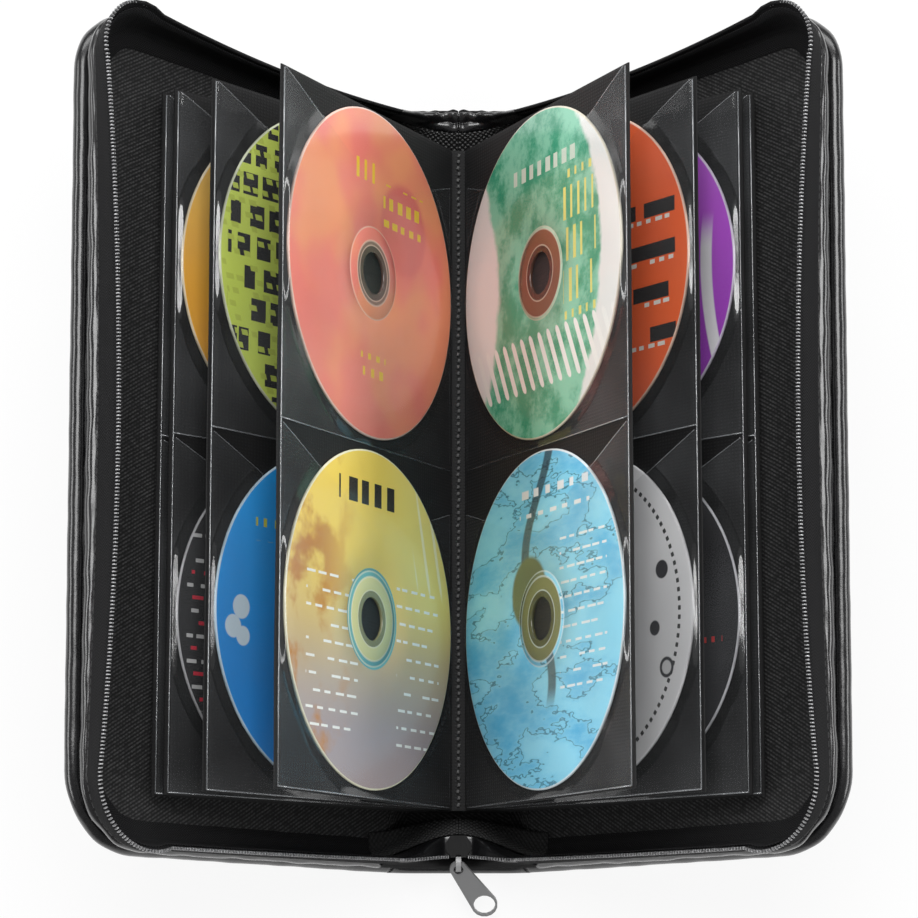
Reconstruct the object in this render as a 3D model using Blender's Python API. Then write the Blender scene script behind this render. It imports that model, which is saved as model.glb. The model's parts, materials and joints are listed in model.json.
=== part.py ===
"""Zip-up CD storage case, lying open on its spine with its pages fanned out.

Metres. X runs across the case, Y along its spine, Z up. The origin is the centre of the
spine's underside. The near end, at -Y, holds the zip's slider. On a cover or a page, u is
the distance out from its hinge, v runs along the spine and w is the height towards the
inside of the case.
"""
import math

import bmesh
import bpy
from mathutils import Matrix, Vector

# Spine and covers
END_ROOM = 0.0205
HINGE_SPREAD = 0.045
PANEL_THICKNESS = 0.005
COVER_WIDTH = 0.1559
FAR_WIDENING = 0.0021
FAR_FLARE = 0.0077
NEAR_TUCK = 0.0015
FAR_CORNER_RADIUS = 0.023
NEAR_CORNER_RADIUS = 0.030
COVER_ANGLE = 45.0
LINING_THICKNESS = 0.0008
EDGE_START = 0.0056

# Edge of each tray, from the roll at the outside to the zip at the rim
ROLL_DIAMETER = 0.006
WALL_THICKNESS = 0.0024
WALL_HEIGHT = 0.0085
WALL_BULGE = 0.0007
WALL_START = 0.018
TAPE_THICKNESS = 0.0012
TEETH_WIDTH = 0.0024
TEETH_HEIGHT = 0.0018
TEETH_PITCH = 0.0048

# How far the rim leans in over the wall's foot: at the start, middle and end of each straight
# side, and at the middle of each corner, where it stands out
FAR_END_LEAN = (0.0040, 0.0056, 0.0005)
FAR_CORNER_LEAN = -0.0075
SIDE_LEAN = (-0.0057, 0.0014, -0.0045)
NEAR_CORNER_LEAN = -0.0062
NEAR_END_LEAN = (-0.0010, -0.0005, 0.0006)

# Pages, numbered from the middle of the case outwards
PAGE_SHIFT = 0.0015
PAGE_THICKNESS = 0.0012
FIRST_PAGE_X = 0.003
PAGE_PITCH_X = 0.004
PAGE_PITCH_Z = 0.0038
LEFT_PAGE_ANGLES = (62.5, 51.1, 44.8, 44.4)
RIGHT_PAGE_ANGLES = (63.8, 52.9, 44.9, 44.5)
PAGES_WITH_DISCS = 3

# Clear pockets
FILM_THICKNESS = 0.0003
FILM_MARGIN = 0.0022
POCKET_SEAM = 0.0012
NOTCH_CENTRE = 0.059
NOTCH_DEPTH = 0.031
NOTCH_SPINE_DROP = 0.015

# Discs
DISC_DIAMETER = 0.120
DISC_SIDE_ROOM = 0.003
DISC_END_ROOM = 0.00225
DISC_HOLE = 0.015
DISC_THICKNESS = 0.0012
DISC_REST = 0.001
DISC_SEGMENTS = 40
DISC_ROUGHNESS = 0.15
DISC_METALLIC = 0.2

# Binding and end pieces
STEP_OVERLAP = 0.0008
STEP_THICKNESS = 0.0011
STITCH_PITCH = 0.006
STITCH_WIDTH = 0.0016
STITCH_HEIGHT = 0.0007
GUSSET_THICKNESS = 0.0155
GUSSET_INSET = 0.001
GUSSET_SLOPE = 0.005
GUSSET_TOE = 0.0015
GUSSET_HEIGHT = 0.0125
GUSSET_DIP = 0.0045

# Zip slider and pull
SLIDER_WIDTH = 0.0095
SLIDER_LENGTH = 0.0077
SLIDER_SETBACK = 0.0053
SLIDER_HEIGHT = 0.0045
SLIDER_NOSE = 0.0057
SLIDER_SHOULDER = 0.0027
BRIDGE_WIDTH = 0.0019
BRIDGE_BAR = 0.0014
BRIDGE_RING_RADIUS = 0.0025
BRIDGE_SUNK = 0.001
BRIDGE_LIFT = 0.00095
PULL_LENGTH = 0.0255
PULL_WIDTH = 0.0096
PULL_THICKNESS = 0.0014
PULL_HOLE = 0.0080
PULL_EYE = 0.0036
PULL_EYE_RIM = 0.0014
PULL_SKEW = 33.0
PULL_DROP = 32.0

# Gap kept between pieces that touch
CLEARANCE = 0.0003

SIDES = (("left", -1), ("right", 1))
ARC_STEPS = 8
STRAIGHT_STEPS = 6
RING_STEPS = 16

PAGE_WIDTH = DISC_DIAMETER + 2 * DISC_SIDE_ROOM
PAGE_HEIGHT = 2 * (DISC_DIAMETER + 2 * DISC_END_ROOM)
SPINE_LENGTH = PAGE_HEIGHT + 2 * END_ROOM
HINGE_Z = PANEL_THICKNESS / 2
HALF_SPREAD = HINGE_SPREAD / 2
PANEL_TOP = PANEL_THICKNESS
LINING_TOP = PANEL_TOP + CLEARANCE + LINING_THICKNESS
PANEL_START = PANEL_THICKNESS / 2 + CLEARANCE

# Heights w of the tray's edge pieces above the hinge plane
ROLL_CENTRE = (ROLL_DIAMETER - PANEL_THICKNESS) / 2
ROLL_TOP = ROLL_CENTRE + ROLL_DIAMETER / 2
WALL_BASE = ROLL_TOP + CLEARANCE
WALL_TOP = WALL_BASE + WALL_HEIGHT
TEETH_TOP = HALF_SPREAD - CLEARANCE
TEETH_BASE = TEETH_TOP - TEETH_HEIGHT
TAPE_BASE = WALL_TOP + CLEARANCE
TAPE_TOP = TEETH_BASE - CLEARANCE
COVER_LINING_BASE = PANEL_THICKNESS / 2 + CLEARANCE
COVER_LINING_TOP = COVER_LINING_BASE + LINING_THICKNESS
EDGE_MIDDLE = ROLL_DIAMETER / 2

# Heights w of what a page carries above its middle plane
PAGE_FACE = PAGE_THICKNESS / 2
DISC_BASE = PAGE_FACE + CLEARANCE
DISC_TOP = DISC_BASE + DISC_THICKNESS
FILM_BASE = PAGE_FACE + CLEARANCE

# Lowest page root: its step of the binding stands on the spine's lining
LAST_PAGE = len(LEFT_PAGE_ANGLES)
LAST_ROOT_Z = LINING_TOP + CLEARANCE + STEP_THICKNESS + CLEARANCE + PAGE_FACE


def clear_scene():
    for item in list(bpy.data.objects):
        bpy.data.objects.remove(item, do_unlink=True)


def make_material(name, colour, roughness, metallic=0.0):
    made = bpy.data.materials.new(name)
    made.use_nodes = True
    shader = made.node_tree.nodes["Principled BSDF"]
    shader.inputs["Base Color"].default_value = (*colour, 1.0)
    shader.inputs["Roughness"].default_value = roughness
    shader.inputs["Metallic"].default_value = metallic
    return made


def add_object(name, mesh, look, parent=None, smooth_angle=None):
    """Link a mesh to the scene as one named sub-part with its own material."""
    colour, roughness, metallic = look
    mesh.materials.append(make_material(name, colour, roughness, metallic))
    if smooth_angle is not None:
        mesh.shade_smooth()
        mesh.set_sharp_from_angle(angle=math.radians(smooth_angle))
    made = bpy.data.objects.new(name, mesh)
    bpy.context.scene.collection.objects.link(made)
    made.parent = parent
    return made


def make_mesh(name, points, faces):
    """A mesh from points and faces, with every face turned outwards."""
    mesh = bpy.data.meshes.new(name)
    mesh.from_pydata([tuple(point) for point in points], [], faces)
    work = bmesh.new()
    work.from_mesh(mesh)
    bmesh.ops.recalc_face_normals(work, faces=work.faces)
    work.to_mesh(mesh)
    work.free()
    return mesh


def loft(name, rings):
    """A closed solid through rings of equally many points, with a cap at each end."""
    count = len(rings[0])
    points = [point for ring in rings for point in ring]
    faces = []
    for row in range(len(rings) - 1):
        for column in range(count):
            following = (column + 1) % count
            near, far = row * count, (row + 1) * count
            faces.append((near + column, near + following, far + following, far + column))
    faces.append(tuple(range(count)))
    faces.append(tuple((len(rings) - 1) * count + column for column in range(count)))
    return make_mesh(name, points, faces)


def along_spine(name, profile, low, high):
    """A profile of (x, z) points drawn out along Y."""
    return loft(name, [[(x, y, z) for x, z in profile] for y in (low, high)])


def slab(name, outline, low, high):
    """A flat outline of (x, y) points, thickened from the height low to high."""
    return loft(name, [[(x, y, z) for x, y in outline] for z in (low, high)])


def arc(centre, radius, start, end, steps=ARC_STEPS):
    """Points on an arc, with its angles in degrees."""
    turns = [math.radians(start + (end - start) * step / steps) for step in range(steps + 1)]
    return [(centre[0] + radius * math.cos(turn), centre[1] + radius * math.sin(turn))
            for turn in turns]


def hinge(name, x, z, side, angle):
    """An empty on a hinge axis, turned so that local X lies in the cover or page."""
    axis = bpy.data.objects.new(name, None)
    bpy.context.scene.collection.objects.link(axis)
    axis.location = (x, 0.0, z)
    axis.rotation_euler = (0.0, math.radians(-side * angle), 0.0)
    return axis


# Edge of a cover: three sides, with rounded corners away from the spine
def edge_legs(start_u):
    """The five legs of a cover's edge, from the far end of its hinge round to the near end.

    Each has its first and last (centre u, centre v, turn, radius) of the corner circle that
    carries it, and the rim's lean at its start, middle and end.
    """
    far_u = COVER_WIDTH + FAR_WIDENING - FAR_CORNER_RADIUS
    near_u = COVER_WIDTH - NEAR_CORNER_RADIUS
    far_v = SPINE_LENGTH / 2 - FAR_CORNER_RADIUS
    near_v = NEAR_CORNER_RADIUS - SPINE_LENGTH / 2
    out_v, tuck_v = far_v + FAR_FLARE, near_v + NEAR_TUCK
    quarter = math.pi / 2
    far_r, near_r = FAR_CORNER_RADIUS, NEAR_CORNER_RADIUS
    return [((start_u, far_v, quarter, far_r), (far_u, out_v, quarter, far_r), FAR_END_LEAN),
            ((far_u, out_v, quarter, far_r), (far_u, out_v, 0.0, far_r),
             (FAR_END_LEAN[-1], FAR_CORNER_LEAN, SIDE_LEAN[0])),
            ((far_u, out_v, 0.0, far_r), (near_u, tuck_v, 0.0, near_r), SIDE_LEAN),
            ((near_u, tuck_v, 0.0, near_r), (near_u, tuck_v, -quarter, near_r),
             (SIDE_LEAN[-1], NEAR_CORNER_LEAN, NEAR_END_LEAN[0])),
            ((near_u, tuck_v, -quarter, near_r), (start_u, near_v, -quarter, near_r),
             NEAR_END_LEAN)]


def bend(values, share):
    """The parabola through three values at the shares 0, 1/2 and 1."""
    first, middle, last = values
    return (first * (1 - share) * (1 - 2 * share) + middle * 4 * share * (1 - share)
            + last * share * (2 * share - 1))


def edge_stations(start_u, straight_steps=1, spacing=None):
    """Places along a cover's edge as (centre u, centre v, turn, radius, lean)."""
    legs = edge_legs(start_u)
    stations = [(*legs[0][0], legs[0][2][0])]
    for first, last, leans in legs:
        sweep = abs(first[2] - last[2])
        steps = ARC_STEPS if sweep else straight_steps
        if spacing:
            length = math.dist(first[:2], last[:2]) + first[3] * sweep
            steps = max(1, round(length / spacing))
        for step in range(1, steps + 1):
            share = step / steps
            place = (a + (b - a) * share for a, b in zip(first, last))
            stations.append((*place, bend(leans, share)))
    return stations


def edge_point(station, depth, height, side):
    """A point of a cover's edge, at a depth inside its outermost outline."""
    centre_u, centre_v, turn, radius, lean = station
    rise = max(0.0, height - WALL_BASE) / (TEETH_TOP - WALL_BASE)
    reach = radius - depth - lean * rise
    return (side * (centre_u + reach * math.cos(turn)), centre_v + reach * math.sin(turn), height)


def edge_sweep(name, section, start_u, side, straight_steps=1):
    """A section of (depth, height) points drawn round the three open sides of a cover."""
    rings = [[edge_point(station, depth, height, side) for depth, height in section]
             for station in edge_stations(start_u, straight_steps)]
    return loft(name, rings)


def cover_outline(depth, start_u, side):
    """The outline of a flat layer of a cover, at a depth inside its outermost edge."""
    return [edge_point(station, depth, 0.0, side)[:2] for station in edge_stations(start_u)]


# Looks of the materials: colour, roughness, metallic
LEATHERETTE = ((0.018, 0.018, 0.020), 0.35, 0.0)
TWILL = ((0.012, 0.012, 0.013), 0.90, 0.0)
WEBBING = ((0.020, 0.020, 0.022), 0.80, 0.0)
TOOTH = ((0.060, 0.060, 0.065), 0.40, 0.5)
PAGE_CLOTH = ((0.015, 0.015, 0.016), 0.85, 0.0)
FILM = ((0.30, 0.31, 0.32), 0.12, 0.0)
THREAD = ((0.55, 0.55, 0.54), 0.80, 0.0)
GUNMETAL = ((0.16, 0.16, 0.17), 0.35, 0.9)
DISC_COLOURS = {
    ("left", 1, "upper"): (0.78, 0.24, 0.15),
    ("left", 1, "lower"): (0.74, 0.49, 0.12),
    ("left", 2, "upper"): (0.55, 0.66, 0.08),
    ("left", 2, "lower"): (0.01, 0.24, 0.62),
    ("left", 3, "upper"): (0.85, 0.42, 0.04),
    ("left", 3, "lower"): (0.02, 0.02, 0.02),
    ("right", 1, "upper"): (0.10, 0.42, 0.28),
    ("right", 1, "lower"): (0.12, 0.45, 0.66),
    ("right", 2, "upper"): (0.80, 0.12, 0.03),
    ("right", 2, "lower"): (0.60, 0.60, 0.61),
    ("right", 3, "upper"): (0.28, 0.04, 0.38),
    ("right", 3, "lower"): (0.02, 0.02, 0.02),
}


# Spine
def build_spine_panel():
    profile = (arc((HALF_SPREAD, HINGE_Z), HINGE_Z, -90.0, 90.0)
               + arc((-HALF_SPREAD, HINGE_Z), HINGE_Z, 90.0, 270.0))
    mesh = along_spine("spine_panel", profile, -SPINE_LENGTH / 2, SPINE_LENGTH / 2)
    add_object("spine_panel", mesh, LEATHERETTE, smooth_angle=40.0)


def gusset_toe_v():
    return SPINE_LENGTH / 2 - GUSSET_INSET - GUSSET_THICKNESS


def lining_half_width():
    """Half the width of the spine's lining, clear of a cover that stands upright."""
    return HALF_SPREAD - COVER_LINING_TOP


def build_spine_lining():
    half_x = lining_half_width()
    half_y = gusset_toe_v() - CLEARANCE
    outline = [(-half_x, -half_y), (half_x, -half_y), (half_x, half_y), (-half_x, half_y)]
    mesh = slab("spine_lining", outline, PANEL_TOP + CLEARANCE, LINING_TOP)
    add_object("spine_lining", mesh, TWILL)


def page_root(number):
    """Where a page's hinge axis lies, as its distance from the middle and its height."""
    x = FIRST_PAGE_X + PAGE_PITCH_X * (number - 1)
    z = LAST_ROOT_Z + PAGE_PITCH_Z * (LAST_PAGE - number)
    return x, z


def build_binding():
    """The sewn block at the middle of the spine, with one step under each page's root."""
    half = []
    for number in range(LAST_PAGE, 0, -1):
        x, z = page_root(number)
        step_top = z - PAGE_FACE - CLEARANCE
        base = half[-1][1] if half else LINING_TOP + CLEARANCE
        half += [(x + STEP_OVERLAP, base), (x + STEP_OVERLAP, step_top)]
    profile = half + [(-x, z) for x, z in reversed(half)]
    low = PAGE_SHIFT - PAGE_HEIGHT / 2
    high = PAGE_SHIFT + PAGE_HEIGHT / 2
    add_object("page_binding", along_spine("page_binding", profile, low, high), WEBBING)


def build_stitches():
    """The row of stitches down the middle of the binding, as one puckered thread."""
    half_width = STITCH_WIDTH / 2
    base = page_root(1)[1] - PAGE_FACE
    length = PAGE_HEIGHT - 2 * STITCH_PITCH
    count = round(length / STITCH_PITCH) * 2
    rings = []
    for step in range(count + 1):
        y = PAGE_SHIFT - length / 2 + length * step / count
        rise = STITCH_HEIGHT if step % 2 else STITCH_HEIGHT / 2
        rings.append([(-half_width, y, base), (half_width, y, base),
                      (half_width / 2, y, base + rise), (-half_width / 2, y, base + rise)])
    add_object("binding_stitches", loft("binding_stitches", rings), THREAD)


def gusset_section(y, height):
    """A cross-section of an end gusset: two ridges, with a flat saddle between them."""
    half_x = lining_half_width()
    saddle = SLIDER_WIDTH / 2 + CLEARANCE
    base = PANEL_TOP + CLEARANCE
    dip = GUSSET_DIP * height / GUSSET_HEIGHT
    half = [(half_x, base), (half_x, base + height - dip / 2),
            ((half_x + saddle) / 2, base + height), (saddle, base + height - dip)]
    return [(x, y, z) for x, z in half] + [(-x, y, z) for x, z in reversed(half)]


def build_end_gussets():
    """The folded cloth walls that close the spine's two ends, sloping up from its lining."""
    toe = gusset_toe_v()
    for name, end in (("far_end_gusset", 1), ("near_end_gusset", -1)):
        rings = [gusset_section(end * toe, GUSSET_TOE),
                 gusset_section(end * (toe + GUSSET_SLOPE), GUSSET_HEIGHT),
                 gusset_section(end * (toe + GUSSET_THICKNESS), GUSSET_HEIGHT)]
        add_object(name, loft(name, rings), WEBBING)


# Zip slider and its pull
def slider_frame():
    """The height of the slider's underside and the y of its middle, over the near gusset."""
    seat = PANEL_TOP + CLEARANCE + GUSSET_HEIGHT - GUSSET_DIP + CLEARANCE
    middle = -(SPINE_LENGTH / 2 - SLIDER_SETBACK - SLIDER_LENGTH / 2)
    return seat, middle


def pull_pivot():
    """The middle of the bridge's ring, which the pull's eye slides round."""
    seat, middle = slider_frame()
    out = BRIDGE_RING_RADIUS + BRIDGE_BAR / 2 - BRIDGE_SUNK
    height = seat + SLIDER_HEIGHT / 2 + BRIDGE_LIFT
    return Vector((0.0, middle - SLIDER_LENGTH / 2 - out, height))


def add_tool(name, mesh):
    """A shape that only cuts or joins another, and isn't a sub-part itself."""
    made = bpy.data.objects.new(name, mesh)
    bpy.context.scene.collection.objects.link(made)
    made.hide_render = True
    made.display_type = "WIRE"
    return made


def combine(target, tool, operation):
    step = target.modifiers.new(tool.name, "BOOLEAN")
    step.object = tool
    step.operation = operation
    step.solver = "EXACT"


def build_slider():
    seat, middle = slider_frame()
    back = middle + SLIDER_LENGTH / 2
    front = middle - SLIDER_LENGTH / 2
    half = SLIDER_WIDTH / 2
    nose = SLIDER_NOSE / 2
    outline = [(-nose, front), (nose, front), (half, front + SLIDER_SHOULDER),
               (half, back - SLIDER_SHOULDER), (nose, back), (-nose, back),
               (-half, back - SLIDER_SHOULDER), (-half, front + SLIDER_SHOULDER)]
    mesh = slab("zipper_slider", outline, seat, seat + SLIDER_HEIGHT)
    slider = add_object("zipper_slider", mesh, GUNMETAL, smooth_angle=30.0)

    pivot = pull_pivot()
    turns = (0.0, 360.0 * (RING_STEPS - 1) / RING_STEPS, RING_STEPS - 1)
    outer = arc((pivot.y, pivot.z), BRIDGE_RING_RADIUS + BRIDGE_BAR / 2, *turns)
    inner = arc((pivot.y, pivot.z), BRIDGE_RING_RADIUS - BRIDGE_BAR / 2, *turns)
    rings = []
    for (out_y, out_z), (in_y, in_z) in zip(outer, inner):
        rings.append([(-BRIDGE_WIDTH / 2, out_y, out_z), (BRIDGE_WIDTH / 2, out_y, out_z),
                      (BRIDGE_WIDTH / 2, in_y, in_z), (-BRIDGE_WIDTH / 2, in_y, in_z)])
    count = len(rings)
    points = [point for one in rings for point in one]
    faces = []
    for row in range(count):
        near, far = row * 4, (row + 1) % count * 4
        faces += [(near + a, near + (a + 1) % 4, far + (a + 1) % 4, far + a) for a in range(4)]
    bridge = add_tool("slider_bridge_tool", make_mesh("slider_bridge_tool", points, faces))
    combine(slider, bridge, "UNION")


def build_pull():
    """A flat tab with an eye round the slider's bridge and a round hole at its free end."""
    pivot = pull_pivot()
    axis = bpy.data.objects.new("pull_axis", None)
    bpy.context.scene.collection.objects.link(axis)
    axis.location = pivot

    half = PULL_WIDTH / 2
    eye_edge = PULL_EYE / 2 + PULL_EYE_RIM
    reach = PULL_LENGTH - half - eye_edge
    outline = arc((0.0, 0.0), eye_edge, 20.0, 160.0) + arc((0.0, -reach), half, 180.0, 360.0)
    lie = (Matrix.Rotation(math.radians(PULL_DROP), 4, "X")
           @ Matrix.Translation((0.0, -BRIDGE_RING_RADIUS, 0.0))
           @ Matrix.Rotation(math.radians(PULL_SKEW), 4, "Z"))
    mesh = slab("zipper_pull", outline, -PULL_THICKNESS / 2, PULL_THICKNESS / 2)
    mesh.transform(lie)
    pull = add_object("zipper_pull", mesh, GUNMETAL, parent=axis, smooth_angle=30.0)
    turns = (0.0, 360.0 * (RING_STEPS - 1) / RING_STEPS, RING_STEPS - 1)
    for name, centre, radius in (("pull_eye_tool", 0.0, PULL_EYE / 2),
                                 ("pull_hole_tool", -reach, PULL_HOLE / 2)):
        cutter_mesh = slab(name, arc((0.0, centre), radius, *turns), -PULL_THICKNESS, PULL_THICKNESS)
        cutter_mesh.transform(lie)
        cutter = add_tool(name, cutter_mesh)
        cutter.parent = axis
        combine(pull, cutter, "DIFFERENCE")


# Covers
def build_cover_layers(label, side, axis):
    panel_depth = ROLL_DIAMETER + CLEARANCE
    panel = slab(f"{label}_cover_panel", cover_outline(panel_depth, PANEL_START, side),
                 -PANEL_THICKNESS / 2, PANEL_THICKNESS / 2)
    add_object(f"{label}_cover_panel", panel, LEATHERETTE, axis, smooth_angle=30.0)

    lining = slab(f"{label}_cover_lining",
                  cover_outline(panel_depth, EDGE_START, side),
                  COVER_LINING_BASE, COVER_LINING_TOP)
    add_object(f"{label}_cover_lining", lining, TWILL, axis)


def build_cover_roll(label, side, axis):
    section = arc((EDGE_MIDDLE, ROLL_CENTRE), ROLL_DIAMETER / 2, 0.0, 324.0, 9)
    mesh = edge_sweep(f"{label}_cover_piping", section, EDGE_START, side)
    add_object(f"{label}_cover_piping", mesh, LEATHERETTE, axis, smooth_angle=50.0)


def build_wall(label, side, axis):
    outer = EDGE_MIDDLE - WALL_THICKNESS / 2
    inner = EDGE_MIDDLE + WALL_THICKNESS / 2
    middle = (WALL_BASE + WALL_TOP) / 2
    section = [(outer, WALL_BASE), (outer - WALL_BULGE, middle), (outer, WALL_TOP),
               (inner, WALL_TOP), (inner, WALL_BASE)]
    mesh = edge_sweep(f"{label}_side_wall", section, WALL_START, side, STRAIGHT_STEPS)
    add_object(f"{label}_side_wall", mesh, LEATHERETTE, axis, smooth_angle=30.0)


def build_zip_half(label, side, axis):
    outer = EDGE_MIDDLE - TAPE_THICKNESS / 2
    inner = EDGE_MIDDLE + TAPE_THICKNESS / 2
    section = [(outer, TAPE_BASE), (outer, TAPE_TOP), (inner, TAPE_TOP), (inner, TAPE_BASE)]
    mesh = edge_sweep(f"{label}_zipper_tape", section, WALL_START, side, STRAIGHT_STEPS)
    add_object(f"{label}_zipper_tape", mesh, WEBBING, axis, smooth_angle=30.0)

    rings = []
    for index, station in enumerate(edge_stations(WALL_START, spacing=TEETH_PITCH / 2)):
        half = TEETH_WIDTH / 2 if index % 2 else TAPE_THICKNESS / 2
        top = TEETH_TOP if index % 2 else TEETH_TOP - TEETH_HEIGHT / 2
        section = [(EDGE_MIDDLE - half, TEETH_BASE), (EDGE_MIDDLE - half, top),
                   (EDGE_MIDDLE + half, top), (EDGE_MIDDLE + half, TEETH_BASE)]
        rings.append([edge_point(station, depth, height, side) for depth, height in section])
    add_object(f"{label}_zipper_teeth", loft(f"{label}_zipper_teeth", rings), TOOTH, axis)


def build_cover(label, side):
    axis = hinge(f"{label}_cover_axis", side * HALF_SPREAD, HINGE_Z, side, COVER_ANGLE)
    build_cover_layers(label, side, axis)
    build_cover_roll(label, side, axis)
    build_wall(label, side, axis)
    build_zip_half(label, side, axis)


# Pages
def build_page_sheet(name, side, axis):
    """The black cloth sheet of a page, with a round bead at its root."""
    root = arc((0.0, 0.0), PAGE_FACE, 90.0, 270.0, 6)
    profile = root + [(PAGE_WIDTH, -PAGE_FACE), (PAGE_WIDTH, PAGE_FACE)]
    placed = [(side * u, w) for u, w in profile]
    mesh = along_spine(name, placed, PAGE_SHIFT - PAGE_HEIGHT / 2, PAGE_SHIFT + PAGE_HEIGHT / 2)
    add_object(name, mesh, PAGE_CLOTH, axis)


def pocket_middle(level):
    """The v of a pocket's middle: the page has an upper and a lower one."""
    return PAGE_SHIFT + (PAGE_HEIGHT / 4 if level == "upper" else -PAGE_HEIGHT / 4)


def build_pocket(name, level, film_top, side, axis):
    """A clear film welded down at both long edges, with a V-shaped mouth at its top."""
    low = pocket_middle(level) - PAGE_HEIGHT / 4 + POCKET_SEAM / 2
    high = pocket_middle(level) + PAGE_HEIGHT / 4 - POCKET_SEAM / 2
    start, end = FILM_MARGIN - FILM_THICKNESS, PAGE_WIDTH - FILM_MARGIN + FILM_THICKNESS
    outer = [(start, FILM_BASE), (start, film_top), (NOTCH_CENTRE, film_top),
             (end, film_top), (end, FILM_BASE)]
    under = film_top - FILM_THICKNESS
    inner = [(start + FILM_THICKNESS, FILM_BASE), (start + FILM_THICKNESS, under),
             (NOTCH_CENTRE, under), (end - FILM_THICKNESS, under),
             (end - FILM_THICKNESS, FILM_BASE)]

    def mouth(u):
        if u < NOTCH_CENTRE:
            share = (u - start) / (NOTCH_CENTRE - start)
            return high - NOTCH_SPINE_DROP - (NOTCH_DEPTH - NOTCH_SPINE_DROP) * share
        return high - NOTCH_DEPTH * (end - u) / (end - NOTCH_CENTRE)

    points = []
    for u, w in outer + inner:
        points += [(side * u, low, w), (side * u, mouth(u), w)]
    count = len(outer)
    faces = []
    for index in range(count - 1):
        a, b = 2 * index, 2 * (index + 1)
        c, d = a + 2 * count, b + 2 * count
        faces += [(a, b, b + 1, a + 1), (c, d, d + 1, c + 1)]
        faces += [(a, b, d, c), (a + 1, b + 1, d + 1, c + 1)]
    for index in (0, count - 1):
        a, c = 2 * index, 2 * (index + count)
        faces.append((a, a + 1, c + 1, c))
    add_object(name, make_mesh(name, points, faces), FILM, axis)


def build_disc(name, colour, level, side, axis):
    """A disc with its centre hole, in its pocket."""
    centre = (side * PAGE_WIDTH / 2, pocket_middle(level) + DISC_REST)
    turns = [2 * math.pi * step / DISC_SEGMENTS for step in range(DISC_SEGMENTS)]
    points = []
    for radius, w in ((DISC_DIAMETER / 2, DISC_BASE), (DISC_DIAMETER / 2, DISC_TOP),
                      (DISC_HOLE / 2, DISC_TOP), (DISC_HOLE / 2, DISC_BASE)):
        points += [(centre[0] + radius * math.cos(turn), centre[1] + radius * math.sin(turn), w)
                   for turn in turns]
    faces = []
    for band in range(4):
        near, far = band * DISC_SEGMENTS, (band + 1) % 4 * DISC_SEGMENTS
        for step in range(DISC_SEGMENTS):
            following = (step + 1) % DISC_SEGMENTS
            faces.append((near + step, near + following, far + following, far + step))
    look = (colour, DISC_ROUGHNESS, DISC_METALLIC)
    add_object(name, make_mesh(name, points, faces), look, axis, smooth_angle=30.0)


def build_page(label, side, number, angle):
    x, z = page_root(number)
    axis = hinge(f"{label}_leaf_{number}_axis", side * x, z, side, angle)
    build_page_sheet(f"{label}_leaf_{number}", side, axis)
    has_discs = number <= PAGES_WITH_DISCS
    film_top = (DISC_TOP + CLEARANCE if has_discs else FILM_BASE + CLEARANCE) + FILM_THICKNESS
    for level in ("upper", "lower"):
        name = f"{label}_leaf_{number}_{level}"
        build_pocket(f"{name}_pocket", level, film_top, side, axis)
        if has_discs:
            build_disc(f"{name}_disc", DISC_COLOURS[label, number, level], level, side, axis)


def build_case():
    clear_scene()
    build_spine_panel()
    build_spine_lining()
    build_binding()
    build_stitches()
    build_end_gussets()
    build_slider()
    build_pull()
    for label, side in SIDES:
        build_cover(label, side)
        angles = LEFT_PAGE_ANGLES if side < 0 else RIGHT_PAGE_ANGLES
        for number, angle in enumerate(angles, start=1):
            build_page(label, side, number, angle)


build_case()
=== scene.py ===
"""Looks of the zip-up CD case: leatherette, weave, clear pockets, printed discs, zip and light.

Metres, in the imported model's frame. On a cover or a page, u is the distance out from its
hinge, v runs along the spine and w is the height towards the inside of the case.
"""
import json
import math

import bmesh
import bpy
from mathutils import Matrix, Vector


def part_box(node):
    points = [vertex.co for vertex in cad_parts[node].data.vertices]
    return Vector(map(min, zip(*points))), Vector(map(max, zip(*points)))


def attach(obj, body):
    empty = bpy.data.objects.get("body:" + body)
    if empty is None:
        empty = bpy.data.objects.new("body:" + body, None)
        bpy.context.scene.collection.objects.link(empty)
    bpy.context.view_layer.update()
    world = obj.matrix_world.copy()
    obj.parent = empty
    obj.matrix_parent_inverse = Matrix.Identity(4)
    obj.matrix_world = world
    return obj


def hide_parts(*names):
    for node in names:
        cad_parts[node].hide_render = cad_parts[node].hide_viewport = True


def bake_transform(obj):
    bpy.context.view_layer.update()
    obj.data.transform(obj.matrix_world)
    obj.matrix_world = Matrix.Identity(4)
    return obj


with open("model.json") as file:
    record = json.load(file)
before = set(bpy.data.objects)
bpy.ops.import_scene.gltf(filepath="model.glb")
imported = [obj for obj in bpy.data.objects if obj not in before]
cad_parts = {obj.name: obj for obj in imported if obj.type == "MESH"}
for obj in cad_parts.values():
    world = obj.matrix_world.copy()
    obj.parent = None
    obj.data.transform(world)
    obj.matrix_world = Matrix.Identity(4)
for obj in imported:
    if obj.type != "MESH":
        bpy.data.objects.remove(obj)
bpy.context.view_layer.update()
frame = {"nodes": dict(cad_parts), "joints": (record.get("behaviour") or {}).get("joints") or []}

SIDES = (("left", -1), ("right", 1))
LEVELS = ("upper", "lower")

# Sizes read from the frame
JOINTS = {joint["name"]: joint for joint in frame["joints"]}
HALF_SPREAD = JOINTS["right_cover_hinge"]["pos_m"][0]
HINGE_Z = JOINTS["right_cover_hinge"]["pos_m"][2]
SPINE_LOW, SPINE_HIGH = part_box("spine_panel")
SPINE_LENGTH = SPINE_HIGH.y - SPINE_LOW.y
PAGE_LOW, PAGE_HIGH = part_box("left_leaf_1")
PAGE_SHIFT = (PAGE_LOW.y + PAGE_HIGH.y) / 2
PAGE_HEIGHT = PAGE_HIGH.y - PAGE_LOW.y

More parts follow.
